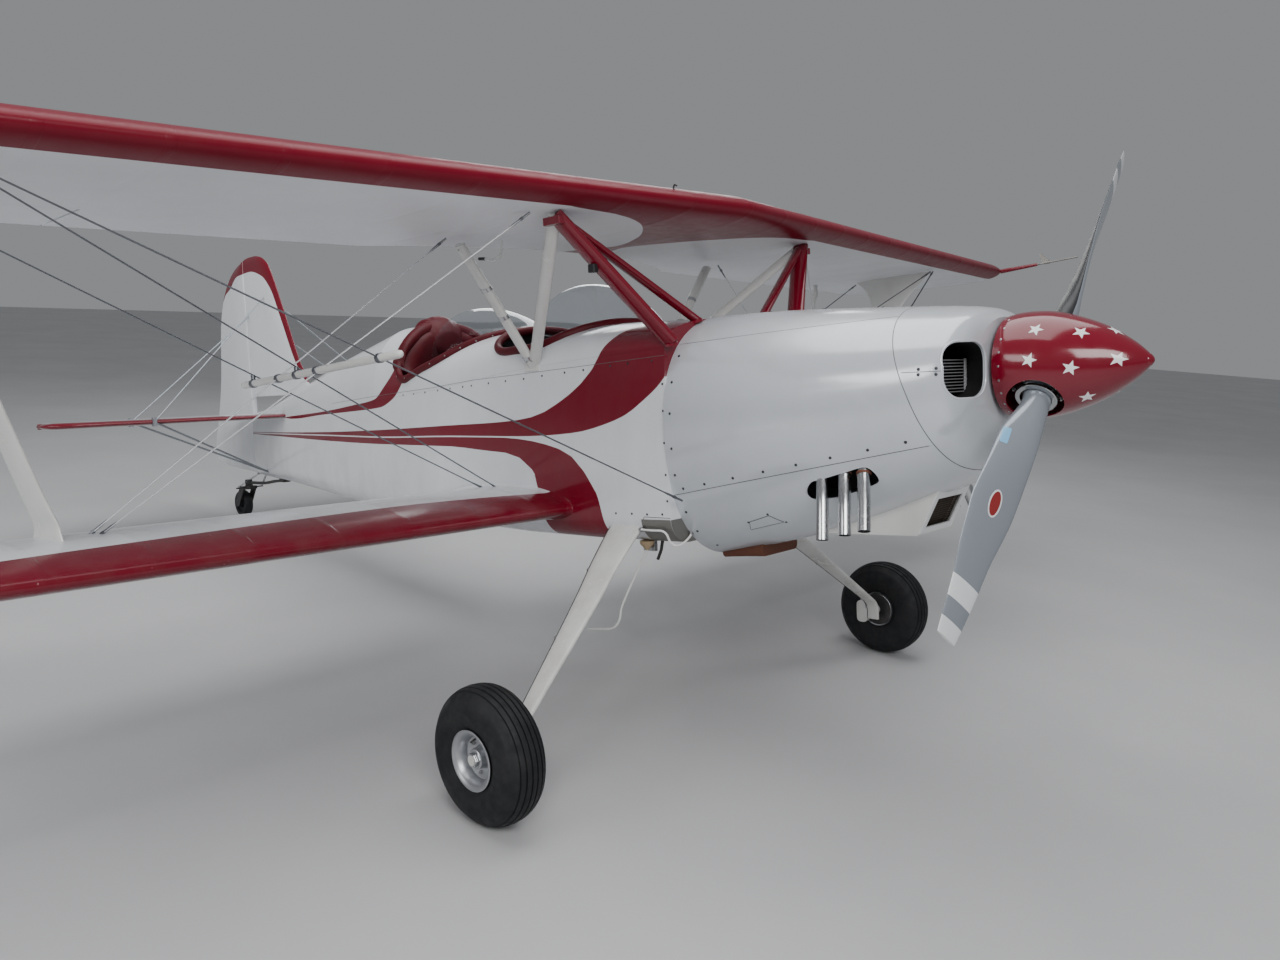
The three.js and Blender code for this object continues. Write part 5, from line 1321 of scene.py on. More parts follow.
leg_rows = spline(LEG, 4)
runs = np.gradient(leg_rows[:, 1:3], axis=0)
for name, side in SIDES:
    axle = bar((AXLE_X, side * 1162, AXLE_Z), (AXLE_X, side * 1338, AXLE_Z), 17, sides=32)
    leg = merged(loft([leg_ring(row, side, run) for row, run in zip(leg_rows, runs)]), axle)
    piece(f"gear_leg_{name}_leaf", leg, white_paint, replaces=[f"gear_leg_{name}"])
    wedge = rounded((AXLE_X - 92, AXLE_Z - 66), (AXLE_X - 34, AXLE_Z + 44), 22)
    piece(f"brake_caliper_{name}", prism(wedge, *sorted((side * 1156, side * 1190)), axis=1), white_paint, bevel=3)
    nut = [(15, 1325.5), (24, 1325.5), (24, 1334), (21, 1337), (15, 1337)]
    piece(f"axle_nut_{name}", turned(nut, (AXLE_X, 0, AXLE_Z), (0, side, 0), 6), steel, bevel=1)
    line = [row[:3] * [1, side, 1] + [-(row[3] / 2) - 5, 0, -2] for row in leg_rows[2:]]
    line.append(np.array([AXLE_X - 50, side * 1160, AXLE_Z + 24]))
    piece(f"brake_line_{name}", tube(line, 3.2, 10), black_paint)
    clips = [box((x - chord / 2 - 10, side * y - 5, z - 8), (x - chord / 2 + 8, side * y + 5, z + 4))
             for x, y, z, chord, _ in leg_rows[3:-3:6]]
    piece(f"brake_line_clips_{name}", merged(*clips), screw_zinc, bevel=1)

    wheel_at = np.array([AXLE_X, side * TRACK_HALF, AXLE_Z])
    across = np.linspace(0, 72, 97)
    half = []
    for s, r in zip(across, eased(TREAD, across)):
        groove = any(abs(s - at) < 2.4 for at in (10.5, 31.5, 50))
        half.append((r - (5.5 if groove else 0), s))
    half += [(184, 76.5), (172, 78.4), (160, 79), (148, 78.6), (136, 77.4), (124, 75), (112, 72), (103, 68.6),
             (95, 64), (86, 58)]
    profile = [(r, -s) for r, s in reversed(half)] + half[1:] + [(80.8, 50), (80.8, -50)]
    piece(f"tyre_{name}_rubber", turned(profile, wheel_at, (0, 1, 0), 120), tyre_rubber, f"{name}_wheel",
          [f"tyre_{name}"], 32)
    rim = [(17.6, -40), (34, -40), (36, -66), (72, -66), (76, -60), (84.8, -63), (84.8, -58), (79.4, -49.2),
           (79.4, 49.2), (84.8, 58), (87, 66), (96, 70), (100, 72), (100, 74.5), (96, 76), (88, 73), (81, 66),
           (75, 50), (71, 32), (58, 27), (48, 23), (40, 22), (37, 26), (34, 56), (31, 58), (17.6, 58)]
    piece(f"wheel_{name}_rim", turned([(r, side * d) for r, d in rim], wheel_at, (0, 1, 0), 96), alloy,
          f"{name}_wheel", [f"wheel_{name}"], 30)
    dish = turned([(20, -69), (77, -69), (77, -67), (20, -67)], wheel_at, (0, side, 0), 64)
    piece(f"wheel_{name}_inner_disc", dish, black_paint, f"{name}_wheel", bevel=0.6)
    bolt = [(0.1, 0), (6.5, 0), (6.5, 7), (3, 7.5), (3, 12), (0.1, 12.2)]
    bolts = [turned(bolt, wheel_at + [55 * math.cos(a), side * 25, 55 * math.sin(a)], (0, side, 0), 6, closed=False)
             for a in turns(6) + 0.3]
    piece(f"wheel_bolts_{name}", merged(*bolts), screw_zinc, f"{name}_wheel")
    valve = bar(wheel_at + [0, side * 48, 66], wheel_at + [0, side * 70, 60], 3.4, 2.8)
    piece(f"valve_stem_{name}", valve, black_paint, f"{name}_wheel")

# Tail

FIN_EDGE = [(1290, -3700), (1440, -3290), (1560, -3340), (1643, -3403), (1905, -3530), (2130, -3640), (2290, -3732),
            (2350, -3810), (2376, -3900), (2378, -3985)]
RUDDER_EDGE = [(912, -4094), (975, -4690), (1020, -4746), (1120, -4735), (1290, -4660), (1573, -4571), (1960, -4500),
               (2160, -4409), (2262, -4310), (2332, -4190), (2362, -4094)]
ELEVATOR_EDGE = [(72, -4120), (215, -4320), (400, -4320), (700, -4290), (1000, -4230), (1200, -4160), (1310, -4080),
                 (1376, -3985), (1394, -3906)]
TAILPLANE_EDGE = [(20, -3346)] + STABILISER_EDGE[1:]


def leading_section(front, back, thick):
    """A round-nosed section: pairs of fore-and-aft place and offset from the middle plane."""
    share = np.concatenate([(1 - np.cos(np.linspace(0, math.pi / 2, 14))) * 0.3, np.linspace(0.3, 1, 8)[1:]])
    half = thick / 2 * np.sqrt(np.clip(1 - (1 - np.minimum(share / 0.3, 1)) ** 2, 0.0, 1)) + 0.3
    x = front + (back - front) * share
    return list(zip(x, half)) + list(zip(x[::-1], -half[::-1]))


def trailing_section(front, back, thick):
    angle = np.linspace(math.pi / 2, 0, 7)
    nose = [(front + thick / 2 * math.cos(a), thick / 2 * math.sin(a)) for a in angle]
    share = np.linspace(0, 1, 12)[1:]
    half = thick / 2 * (1 - np.clip((share - 0.25) / 0.75, 0, 1) ** 1.3 * 0.78)
    side = nose[::-1] + [(front + (back - front) * s, h) for s, h in zip(share, half)]
    return side + [(x, -h) for x, h in reversed(side[1:])]


fin_rows = []
for z in np.concatenate([np.linspace(1440, 2290, 18), np.linspace(2300, 2376, 12)]):
    front = eased_at(FIN_EDGE, z)
    back = -4064 if z < 2366 else -4064 + (z - 2366) * 6
    thin = 1 - 0.75 * max((z - 2300) / 78, 0) ** 3
    fin_rows.append([(x, y, z) for x, y in leading_section(front, back, 38 * thin)])
piece("fin_skin", loft(fin_rows), tail_paint, replaces=["fin"], angle=50)

rudder_rows = []
for z in np.concatenate([np.linspace(912.5, 975, 14), np.linspace(985, 2262, 26), np.linspace(2275, 2361, 14)]):
    back = eased_at(RUDDER_EDGE, z)
    thin = 1 - 0.7 * max((z - 2280) / 82, 0) ** 3 - 0.6 * max((960 - z) / 48, 0) ** 2
    rudder_rows.append([(x, y, z) for x, y in trailing_section(RUDDER_HINGE_X, back, 36 * thin)])
rudder = merged(loft(rudder_rows), bar((RUDDER_HINGE_X, 0, 916), (RUDDER_HINGE_X, 0, 2354), 17, sides=24))
piece("rudder_skin", rudder, tail_paint, "rudder", ["rudder"], 50)

halves = []
for name, side in SIDES:
    rows = []
    for y in np.concatenate([np.linspace(20, 1250, 16), np.linspace(1262, 1399.5, 16)]):
        front = eased_at(TAILPLANE_EDGE, y)
        thin = 1 - 0.72 * max((y - 1320) / 80, 0) ** 3
        rows.append([(x, side * y, STABILISER_Z + h) for x, h in leading_section(front, -3876, 36 * thin)])
    piece(f"stabiliser_{name}_skin", loft(rows), tailplane_paint, replaces=[f"stabiliser_{name}"], angle=50)
    rows = []
    for y in np.concatenate([np.linspace(72, 215, 10), np.linspace(240, 1300, 20), np.linspace(1310, 1393.5, 14)]):
        back = eased_at(ELEVATOR_EDGE, y)
        thin = 1 - 0.7 * max((y - 1330) / 64, 0) ** 3
        rows.append([(x, side * y, STABILISER_Z + h)
                     for x, h in trailing_section(ELEVATOR_HINGE_X, min(back, ELEVATOR_HINGE_X - 8), 34 * thin)])
    halves.append(loft(rows))
halves.append(bar((ELEVATOR_HINGE_X, -1390, STABILISER_Z), (ELEVATOR_HINGE_X, 1390, STABILISER_Z), 16, sides=24))
piece("elevator_skin", merged(*halves), tailplane_paint, "elevators", ["elevators"], 50)

# Cockpits

def rim_path(name):
    return np.array([(x, y, deck_height(x, y) + 4) for x, y in cockpit_outline(name)])


def rim_tube(path, radius, closed, name):
    """A padded rim, a little uneven where the hide is pulled over it."""
    count = len(path)
    wave = np.random.default_rng(sum(map(ord, name))).normal(0, 1, count)
    wave = np.convolve(np.concatenate([wave, wave, wave]), np.ones(3) / 3, "same")[count:2 * count]
    ahead, behind = np.roll(path, -1, 0), np.roll(path, 1, 0)
    if not closed:
        ahead[-1], behind[0] = path[-1], path[0]
    along = unit_rows((ahead - behind)[:, :2])
    rings = []
    angle = turns(20)
    for p, a, w in zip(path, along, wave):
        shift = (radius + 0.35 * w) * np.cos(angle)
        rings.append(np.stack([p[0] + a[1] * shift, p[1] - a[0] * shift,
                               p[2] + 1.2 * (radius + 0.35 * w) * np.sin(angle)], 1))
    return loft(rings, looped=closed)


front_rim = piece("coaming_front_pad", rim_tube(rim_path("front"), 17, True, "front"), leather,
                  replaces=["coaming_front"])
rear_path = np.roll(rim_path("rear"), 40, 0)[:81]
rear_rim = piece("coaming_rear_pad", rim_tube(rear_path, 17, False, "rear"), leather, replaces=["coaming_rear"])
aft_path = np.roll(rim_path("rear"), -36, 0)[:33]
aft_pad = piece("coaming_aft_pad", rim_tube(aft_path, 33, False, "aft"), leather)

# x, half width, bottom, top
CUSHION = [(-1990, 104, 1690, 1778), (-1950, 130, 1640, 1808), (-1880, 136, 1600, 1812), (-1822, 118, 1592, 1780),
           (-1784, 78, 1615, 1735), (-1776, 44, 1640, 1706), (-1774, 6, 1668, 1680)]
CUSHION_AFT, CUSHION_SQUEEZE = -1952, 0.80


def cushion_shape():
    rows = spline(CUSHION, 7)
    rings, angle = [], turns(72)
    for x, half, low, high in rows:
        x = CUSHION_AFT + (x + 1990) * CUSHION_SQUEEZE
        c, s = np.cos(angle), np.sin(angle)
        fold = 1 - 0.035 * np.exp(-((angle - 1.1) / 0.10) ** 2) - 0.035 * np.exp(-((angle - 2.04) / 0.10) ** 2)
        fold -= 0.012 * np.sin(9 * angle + x / 40) * np.clip((x + 1990) / 90, 0, 1)
        y = half * signed(c, 0.88) * fold
        z = (low + high) / 2 + (high - low) / 2 * signed(s, 0.88) * fold
        rings.append(np.stack([np.full(72, x), y, z], 1))
    return loft(rings)


head_pad = piece("headrest_cushion", cushion_shape(), leather, replaces=["headrest"])


def pillow(centre, along, up, size, channels=3):
    """A stuffed pad: size is its width, length and thickness, with sewn channels across it."""
    width, length, thick = size
    along, up = np.asarray(along, float), np.asarray(up, float)
    across = np.array([0, 1.0, 0])
    rings = []
    for u in np.linspace(-1, 1, 41):
        edge = (1 - abs(u) ** 6) ** (1 / 4) if abs(u) < 1 else 0.02
        groove = sum(math.exp(-((u - k) / 0.035) ** 2) for k in np.linspace(-1, 1, channels + 2)[1:-1])
        half = thick / 2 * max(edge, 0.05) * (1 - 0.28 * groove)
        ring = []
        for c, s in circle(48):
            crown = 1 + 0.18 * max(s, 0) * (1 - u * u)
            ring.append(np.asarray(centre, float) + across * u * width / 2
                        + along * signed(c, 0.45) * length / 2 * (0.93 + 0.07 * edge)
                        + up * signed(s, 0.6) * half * crown)
        rings.append(ring)
    return loft(rings)


STRAP_FACING = (0.9, 0, 0.45)
for name, x in (("front", -715), ("rear", -1600)):
    floor = BAY[2]
    tilt = math.atan2(45, 340)
    base = pillow((x - 30, 0, floor + 118), (math.cos(tilt), 0, math.sin(tilt)), (-math.sin(tilt), 0, math.cos(tilt)),
                  (436, 345, 62))
    lean = math.atan2(72, 410)
    back = pillow((x - 248, 0, floor + 335), (-math.sin(lean), 0, math.cos(lean)),
                  (math.cos(lean), 0, math.sin(lean)), (436, 400, 54))
    seat = piece(f"seat_{name}_pad", base, seat_leather, replaces=[f"seat_{name}"])
    rest = piece(f"seat_{name}_back", back, seat_leather)
    straps = []
    for side in (1, -1):
        p = [(x - 226, side * 70, floor + 548), (x - 214, side * 74, floor + 420), (x - 190, side * 80, floor + 300),
             (x - 150, side * 84, floor + 200), (x - 40, side * 60, floor + 163)]
        straps.append(ribbon([(point, STRAP_FACING) for point in spline(p, 8)], 46, 1.6, 0.8))
    piece(f"seat_{name}_straps", merged(*straps), webbing)

SCREENS = {"front": (-438, 226, 1860), "rear": (-1160, 300, 1822)}


def cockpit_half(name, x):
    fore, aft, half = COCKPITS[name]
    middle = (fore + aft) / 2
    reach = abs(x - middle) / ((fore - aft) / 2)
    power = 2.6 if x > middle else 4
    return half * max(1 - reach ** power, 0) ** (1 / power)


def screen_arch(name, inset, rows=20, steps=56):
    start, length, crown = SCREENS[name]
    foot = deck_height(start) + 22
    out = []
    for row in range(rows + 1):
        t = row / rows
        x = start - length * t
        half = cockpit_half(name, x) - inset
        base = deck_height(x, half) + 1.5
        top = foot + (crown - foot) * math.sin(t * math.pi / 2) ** 1.2 - inset
        angle = (np.arange(steps + 1) / steps - 0.5) * math.pi
        out.append(np.stack([np.full(steps + 1, x - inset * 0.8), half * np.sin(angle),
                             base + (top - base) * np.cos(angle) ** 0.88], 1))
    return np.array(out)


for name in SCREENS:
    outside, inside = screen_arch(name, 0), screen_arch(name, 2.2)
    rings = [np.concatenate([a, b[::-1]]) for a, b in zip(outside, inside)]
    piece(f"windscreen_{name}_sheet", loft(rings), screen, replaces=[f"windscreen_{name}"], angle=30)

# Wires

WIRES = [((150, 404, 965), (-305, 2520, 2020)), ((-912, 403, 958), (-320, 2520, 2020)),
         ((-1022, 403, 958), (-840, 2520, 1992)), ((-800, 2119, 985), (-114, 849, 2012)),
         ((-833, 2137, 985), (-628, 835, 1992))]


def flat_wire(start, end, chord=9.0, thick=5.0):
    return strut(start, end, chord, thick, sides=12)


def wire_end(start, end, reach=72):
    """The threaded end and lock nut of a wire."""
    start, end = floats(start, end)
    way = unit(end - start)
    return merged(bar(start, start + way * reach, 4.2, sides=14),
                  bar(start + way * reach * 0.45, start + way * reach * 0.62, 6.4, sides=6),
                  bar(start + way * reach, start + way * (reach + 24), 4.2, 2.6, 14))


for name, side in SIDES:
    ends = [np.array(wire, float) * [1, side, 1] for wire in WIRES]
    piece(f"flying_wires_{name}", merged(*[flat_wire(a, b) for a, b in ends[:3]]), wire_steel,
          replaces=[f"wing_wires_{name}"])
    # The landing wires take the lighter steel: painted sheen.
    piece(f"landing_wires_{name}", merged(*[flat_wire(a, b) for a, b in ends[3:]]), sheen_wire)
    piece(f"wire_ends_{name}", merged(*[wire_end(a, b) for a, b in ends], *[wire_end(b, a) for a, b in ends]),
          wire_steel)
    y = side * 1500
    fore, aft = floats((23, y, 1518), (-1000, y, 1458))
    rod_way, length = unit(fore - aft), np.linalg.norm(fore - aft)
    javelin = turned([(0.1, -14), (7, -10), (11, -3), (13, 8), (13, length - 8), (11, length + 3), (7, length + 9),
                      (0.1, length + 12)], aft, rod_way, 24, closed=False)
    piece(f"javelin_{name}", javelin, white_paint)
    clamps = []
    for a, b in ends:
        t = (y - a[1]) / (b[1] - a[1])
        crossing = a + (b - a) * t
        on_rod = aft + rod_way * ((crossing - aft) @ rod_way)
        clamps.append(bar(crossing, on_rod, 8, sides=14))
        clamps.append(turned([(13, -11), (15.5, -9), (15.5, 9), (13, 11)], on_rod, rod_way, 24))
    piece(f"wire_clamps_{name}", merged(*clamps), wire_steel)


# Fuselage seams, screws and belly

def body_side(x, z, side=1):
    """The fuselage or deck side at a height, and the way it faces."""
    half, _, longeron, deck = station(x)
    if z <= longeron:
        return hull_point(x, z, side)
    rise = min((z - longeron) / (deck - longeron), 1)
    across = half * (1 - rise ** (2 / 0.86)) ** 0.43
    return deck_point(x, side * across)


SEAM_LINE = np.array([(-2600, 1374), (-1847, 1413), (-1413, 1432), (-1089, 1456), (-804, 1466), (-342, 1486),
                      (88, 1506)])
SEAM_SCREWS = [(-1723, 1402), (-1614, 1406), (-1501, 1411), (-1378, 1417), (-1272, 1423), (-1167, 1428),
               (-1098, 1431), (-965, 1438), (-838, 1443), (-713, 1448), (-594, 1456), (-453, 1464),
               (-342, 1470), (-192, 1479), (-97, 1484), (26, 1489)]
for name, side in SIDES:
    xs = np.linspace(-2600, 88, 90)
    seam = [body_side(x, row_at(SEAM_LINE, x)[0], side) for x in xs]
    edge = [hull_point(x, z, side) for x, z in [(-60, 870), (-46, 893), (20, 894), (88, 895)]]
    piece(f"side_seams_{name}", merged(ribbon(seam, 1.8, 0.3), ribbon(edge, 2.4, 0.3)), seam_dark)
    spots = [body_side(x, z, side) for x, z in SEAM_SCREWS]
    spots += [hull_point(x, z, side) for x, z in ((-196, 899), (-110, 902), (-30, 904), (48, 908))]
    spots += [hull_point(78, z, side) for z in (960, 1060, 1180, 1300, 1400)]
    piece(f"side_screws_{name}", studs(spots, 4.6, 1.9, 12), screw_dark)

BELLY_SHEET_TOP = 892
belly = []
for x in np.linspace(88, -62, 12):
    ring = np.array(hull_ring(x, -1.2, arc=20, rows=60))
    belly.append(ring[ring[:, 2] < BELLY_SHEET_TOP])
count = min(len(r) for r in belly)
belly = [r[(len(r) - count) // 2:(len(r) - count) // 2 + count] for r in belly]
piece("belly_sheet", loft(belly, caps=False, round_ring=False), belly_metal)
rim = np.array(hull_ring(90, -0.6, arc=20, rows=60))
rim = rim[rim[:, 2] < BELLY_SHEET_TOP][:, 1:]
piece("firewall_sheet", prism(rim, 89.6, 90.36, axis=0), belly_metal)

hose = spline([(-61, -410, 843), (0, -413, 844), (48, -411, 845), (66, -405, 832), (74, -394, 802), (88, -376, 787),
               (97, -342, 795), (98, -308, 813), (97, -297, 827)], 8)
vent = piece("belly_hose_right", tube(hose, 4.2, 14), hose_white)
fitting = merged(turned([(0.1, -6), (9, -6), (9, 8), (5, 12), (0.1, 12)], hose[0], (1, 0, 0), 16, closed=False),
                 turned([(0.1, -8), (8, -8), (8, 8), (0.1, 8)], hose[-1], (0, 0, 1), 6, closed=False))
piece("belly_hose_fittings_right", fitting, screw_zinc)

BASE = np.array([-100.0, -338.0, 781.0])
foot = turned([(0.1, 6), (30, 6), (27, -8), (12, -24), (8, -30), (0.1, -30)], BASE, (0, 0, 1), 28, closed=False)
piece("whip_antenna_base", foot, tan_plastic)
WHIP = [(-117, 722), (-165, 649), (-227, 549), (-256, 498), (-274, 440), (-315, 404), (-395, 390), (-468, 380)]
whip = spline([BASE + [0, 0, -26]] + [(x, -340, z) for x, z in WHIP], 6)
piece("whip_antenna_rod", tube(whip, 4.4, 10), hose_white)
drain = np.array([(-50.0, -300, 790), (-60, -300, 748), (-80, -300, 708)])
piece("belly_drain", tube(drain, 6.5, 16), black_paint)
outlet = loft([[(x, y, z) for y, z in rounded((-118 * w, 704 - d), (118 * w, 778 - d), 20)]
               for x, w, d in ((300, 1.0, -18), (210, 0.98, -10), (100, 0.96, 2))])
piece("cooling_outlet_duct", outlet, rust, bevel=2)
bracket = merged(box((-140, 300, 742), (-78, 318, 812)), box((-140, 260, 800), (-78, 318, 812)))
piece("gear_bracket_left", bracket, alloy, bevel=2)
piece("gear_bracket_right", mirrored(bracket), alloy, bevel=2)

# Scoop mouth: a brown wire screen in its white frame

MOUTH_TOP, MOUTH_LOW = np.array([1029.0, 0, 1016]), np.array([953.0, 0, 858])
slope = MOUTH_TOP - MOUTH_LOW
levels = [MOUTH_LOW + slope * t - [17, 0, 0] for t in np.linspace(0.06, 0.94, 17)]
strands = [bar(p + [0, -108, 0], p + [0, 108, 0], 1.1, sides=6) for p in levels]
strands += [bar(MOUTH_LOW + [-17, y, 0], MOUTH_TOP + [-17, y, 0], 1.1, sides=6) for y in np.linspace(-106, 106, 22)]
piece("scoop_screen", merged(*strands), mesh_brown)
panel = loft([[MOUTH_LOW + [-30 - d, -109, 2], MOUTH_TOP + [-30 - d, -109, -2], MOUTH_TOP + [-30 - d, 109, -2],
               MOUTH_LOW + [-30 - d, 109, 2]] for d in (0, 4)])
piece("scoop_filter", panel, belly_dark)
up_way = unit(slope)
front_way = np.array([up_way[2], 0, -up_way[0]])
frame_rings = []
for inner, out_by in ((0, -3), (0, 3), (1, 3), (1, -3)):
    low_edge = MOUTH_LOW + up_way * (-1 + 23 * inner) + front_way * out_by
    top_edge = MOUTH_TOP + up_way * (1 - 43 * inner) + front_way * out_by
    wide = np.array([0, 119 - 28 * inner, 0])
    frame_rings.append([low_edge - wide, top_edge - wide, top_edge + wide, low_edge + wide])
piece("scoop_frame", loft(frame_rings, looped=True), star_white, bevel=1)

# Stack slot edges and pipe collars

for name, side in SIDES:
    edge = [p - n * 2 for p, n in (cowl_level(x, z, side) for x, z in spline(STACK_SLOT, 4, True))]
    piece(f"stack_slot_edge_{name}", tube(edge, 2.6, 10, closed=True), cowl_paint)
    collar = [(21.2, -5), (25, -4), (25, 4), (21.2, 5)]
    collars = [turned(collar, (x - 43, side * 327, 1082), (12, side * 22, -55), 32) for x, _ in PIPES]
    piece(f"stack_collars_{name}", merged(*collars), rust)
    # A near-black box inboard of each exhaust slot: painted shade inside the cowl.
    slot_shade = side_box(side, (600, 150, 1010), (940, 190, 1125))
    piece(f"stack_slot_painted_shade_{name}", slot_shade, painted_shade_dark, bevel=3)

# Strut clamps, bolts and fittings

for name, side in SIDES:
    p = cabane_points(side)
    rear, foot = p["rear_top"], p["apex"]
    bands = [strut(rear + (foot - rear) * t, rear + (foot - rear) * (t + 0.028), 56, 38) for t in (0.33, 0.56, 0.90)]
    piece(f"cabane_clamp_bands_{name}", merged(*bands), steel, bevel=0.8)
    struts = ((p["front_top"], p["thick_foot"]), (rear, foot), (p["front_top"], foot))
    bolts = [top + (low - top) * t for top, low in struts for t in (0.04, 0.95)]
    heads = [bar(b + [0, -21, 0], b + [0, 21, 0], 6, sides=6) for b in bolts]
    piece(f"cabane_bolts_{name}", merged(*heads), screw_zinc)
    shoes = [turned([(0.1, 0), (26, 0), (24, 9), (15, 14), (0.1, 14)], foot_point - [0, 0, 8], (0, side * 0.4, 1), 28,
                    closed=False) for foot_point in (p["thick_foot"], p["thin_foot"])]
    piece(f"cabane_shoes_{name}", merged(*shoes), red_paint)
piece("strut_lamp_box", box((-32, -662, 1806), (0, -640, 1836)), black_paint, bevel=3)
vent_path = spline([(-655, -540, 2012), (-655, -541, 1985), (-664, -545, 1952), (-700, -552, 1936),
                    (-742, -560, 1946), (-775, -566, 1950)], 8)
vent = piece("tank_vent_hose", tube(vent_path, 5.0, 14), hose_white)
vent_cap = piece("tank_vent_cap", tube(vent_path[-9:], 6.6, 14), black_paint)

# Tapes over the upper wing's joints, and fairings at the lower wing's roots

for name, side in SIDES:
    band = [wing_ring(UPPER, side * y) for y in (756, 768)]
    band = [ring + unit_rows(ring - ring.mean(0)) * 0.7 for ring in band]
    piece(f"wing_joint_tape_{name}", carved(loft(band), [notch]), upper_paint)
    root = []
    for y, grow in ((404, 16), (412, 9), (424, 4), (440, 1.0)):
        ring = wing_ring(LOWER, side * y)
        root.append(ring + unit_rows((ring - ring.mean(0)) * [0.25, 0, 1]) * grow)
    piece(f"wing_root_fairing_{name}", loft(root), lower_paint)

# Pitot boom: a red arm and a grey tube

PITOT_Y = 3590
pitot_root = np.array([UPPER["le"] - UPPER["sweep"] * PITOT_Y - 12, PITOT_Y,
                       UPPER["z"] + UPPER["dihedral"] * PITOT_Y - 2])
pitot_way = np.array([1, 0, 0.075])
red_boom = tube(np.array([pitot_root + pitot_way * t for t in (0, 60, 120, 200, 245, 252)]),
                [15, 14, 12.5, 11, 10, 6.5], 24)
piece("pitot_boom_arm", red_boom, red_paint, replaces=["pitot_boom"])
vane = [[pitot_root + [x, dy, z] for x, z in ((285, 18), (345, 22), (275, 90), (263, 90))] for dy in (-2.4, 2.4)]
grey = merged(bar(pitot_root + pitot_way * 240, pitot_root + pitot_way * 512, 6, 5.4, 20),
              bar(pitot_root + pitot_way * 300, pitot_root + pitot_way * 330, 8.4, 8.4, 20), loft(vane))
piece("pitot_tube", grey, belly_metal)

# Blade sticker and oval

for label, radius, wide, tall, paint in (("sticker", 334, 24, 60, sticker_blue),
                                         ("oval_rim", 568, 44, 96, blade_white),
                                         ("oval", 568, 34, 84, decal_red)):
    out, lead = blade_way(1)
    rows = []
    for share in np.linspace(0.02, 1, 9):
        ring = []
        for c, s in circle(36):
            if label == "sticker":
                c, s = signed(c, 0.25), signed(s, 0.25)
            r = radius + tall / 2 * share * s
            chord, thickness, shift, along, face = blade_section(r, lead)
            off = wide / 2 * share * c + (-55 if label == "sticker" else -18)
            lift = thickness / 2 * math.sqrt(max(1 - (2 * (off - shift) / chord) ** 2, 0))
            ring.append(HUB + out * r + along * off + face * (lift + (0.9 if label == "oval" else 0.6)))
        rows.append(ring)
    piece(f"blade_{label}", loft(rows, caps=False), paint, "propeller")

# Cockpits: the padded shoulder under the head cushion, studs, dials and screen screws

def shoulder_shape():
    arc_points = np.roll(cockpit_outline("rear"), -34, 0)[:37]
    rows = []
    for t in np.linspace(0, 1, 15):
        ring = []
        for i, (x, y) in enumerate(arc_points):
            inward = t ** 0.8
            px = x + (-1790 - x) * inward * 0.55 + 34 * math.sin(math.pi * min(t * 1.1, 1))
            py = y * (1 - 0.42 * inward)
            top = deck_height(x, y) + 8
            pz = top - 205 * t ** 1.5 + 16 * math.sin(math.pi * t) + 3.0 * math.sin(i * 0.9) * math.sin(math.pi * t)
            ring.append((px, py, pz))
        rows.append(ring)
    return loft([np.concatenate([ring, (ring - [14, 0, 10])[::-1]]) for ring in np.array(rows)])


shoulder = piece("headrest_shoulder_pad", shoulder_shape(), leather, angle=70)
studs_at = []
for x, y in np.roll(cockpit_outline("rear"), 44, 0)[:89:4]:
    outward = unit([x + 1530, y, 0])
    studs_at.append((np.array([x, y, deck_height(x, y) + 4]) + outward * 18.2, outward))
piece("coaming_rear_studs", studs(studs_at, 3.4, 1.4), screw_zinc)

for name, x in (("front", -400), ("rear", -1118)):
    dials, rims = [], []
    for y, z, r in ((-150, 118, 40), (-50, 120, 40), (50, 120, 40), (150, 118, 40), (-205, 40, 28), (-100, 30, 28),
                    (0, 28, 28), (100, 30, 28), (205, 40, 28)):
        at = np.array([x - 8.5, y * 0.95, station(x)[2] - 60 + z])
        rims.append(turned([(r - 3, 0), (r, 0), (r, 5), (r - 3, 5)], at, (-1, 0, 0), 32))
        for c, s in circle(12):
            p = at + [-1.2, c * (r - 9), s * (r - 9)]
            dials.append(bar(p, p + [0, c * 5, s * 5], 0.9, sides=6))
        dials.append(bar(at + [-1.6, 0, 0], at + [-1.6, (r - 10) * 0.5, (r - 10) * 0.8], 1.0, sides=6))
    piece(f"panel_{name}_dial_rims", merged(*rims), screw_dark)
    piece(f"panel_{name}_dial_marks", merged(*dials), dial_ink)
for name in SCREENS:
    arch = screen_arch(name, 0)
    strip = np.concatenate([arch[::-1, 0], arch[1:, -1]])
    facing = [np.array([0.6 if abs(p[1]) < 200 else 0.1, np.sign(p[1]), 0.15]) for p in strip]
    heads = studs([(p + n, n) for p, n in zip(strip, facing)][2::5], 3.6, 2.0, 10)
    piece(f"windscreen_{name}_screws", heads, screw_zinc)

# Tail wheel steering springs

for name, side in SIDES:
    a, b = np.array([-4262.0, side * 90, 806]), np.array([-4046.0, side * 30, 908])
    way, u, v = axis_frame(b - a)
    coil = []
    for t in np.linspace(0, 1, 150):
        reach = 18 + t * (np.linalg.norm(b - a) - 44)
        turn_angle = t * 2 * math.pi * 14
        coil.append(a + way * reach + 5.5 * (math.cos(turn_angle) * u + math.sin(turn_angle) * v))
    spring = merged(tube(np.array(coil), 1.2, 6), tube(np.array([a, a + way * 18]), 1.4, 6),
                    tube(np.array([b - way * 26, b]), 1.4, 6))
    spring = piece(f"tail_spring_coil_{name}", spring, wire_steel, body=None)
    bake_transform(spring)
    lug_points = side_box(side, (-4056, 22, 903), (-4040, 34, 914))
    piece(f"tail_spring_lug_{name}", lug_points, screw_zinc, bevel=1)

hook = tube(spline([(116, -346, 2096), (115, -346, 2118), (121, -346, 2127), (130, -346, 2121)], 6), 3.2, 10)
piece("upper_wing_hook", hook, black_paint)


# Nodes that are shown as they are, smoothed

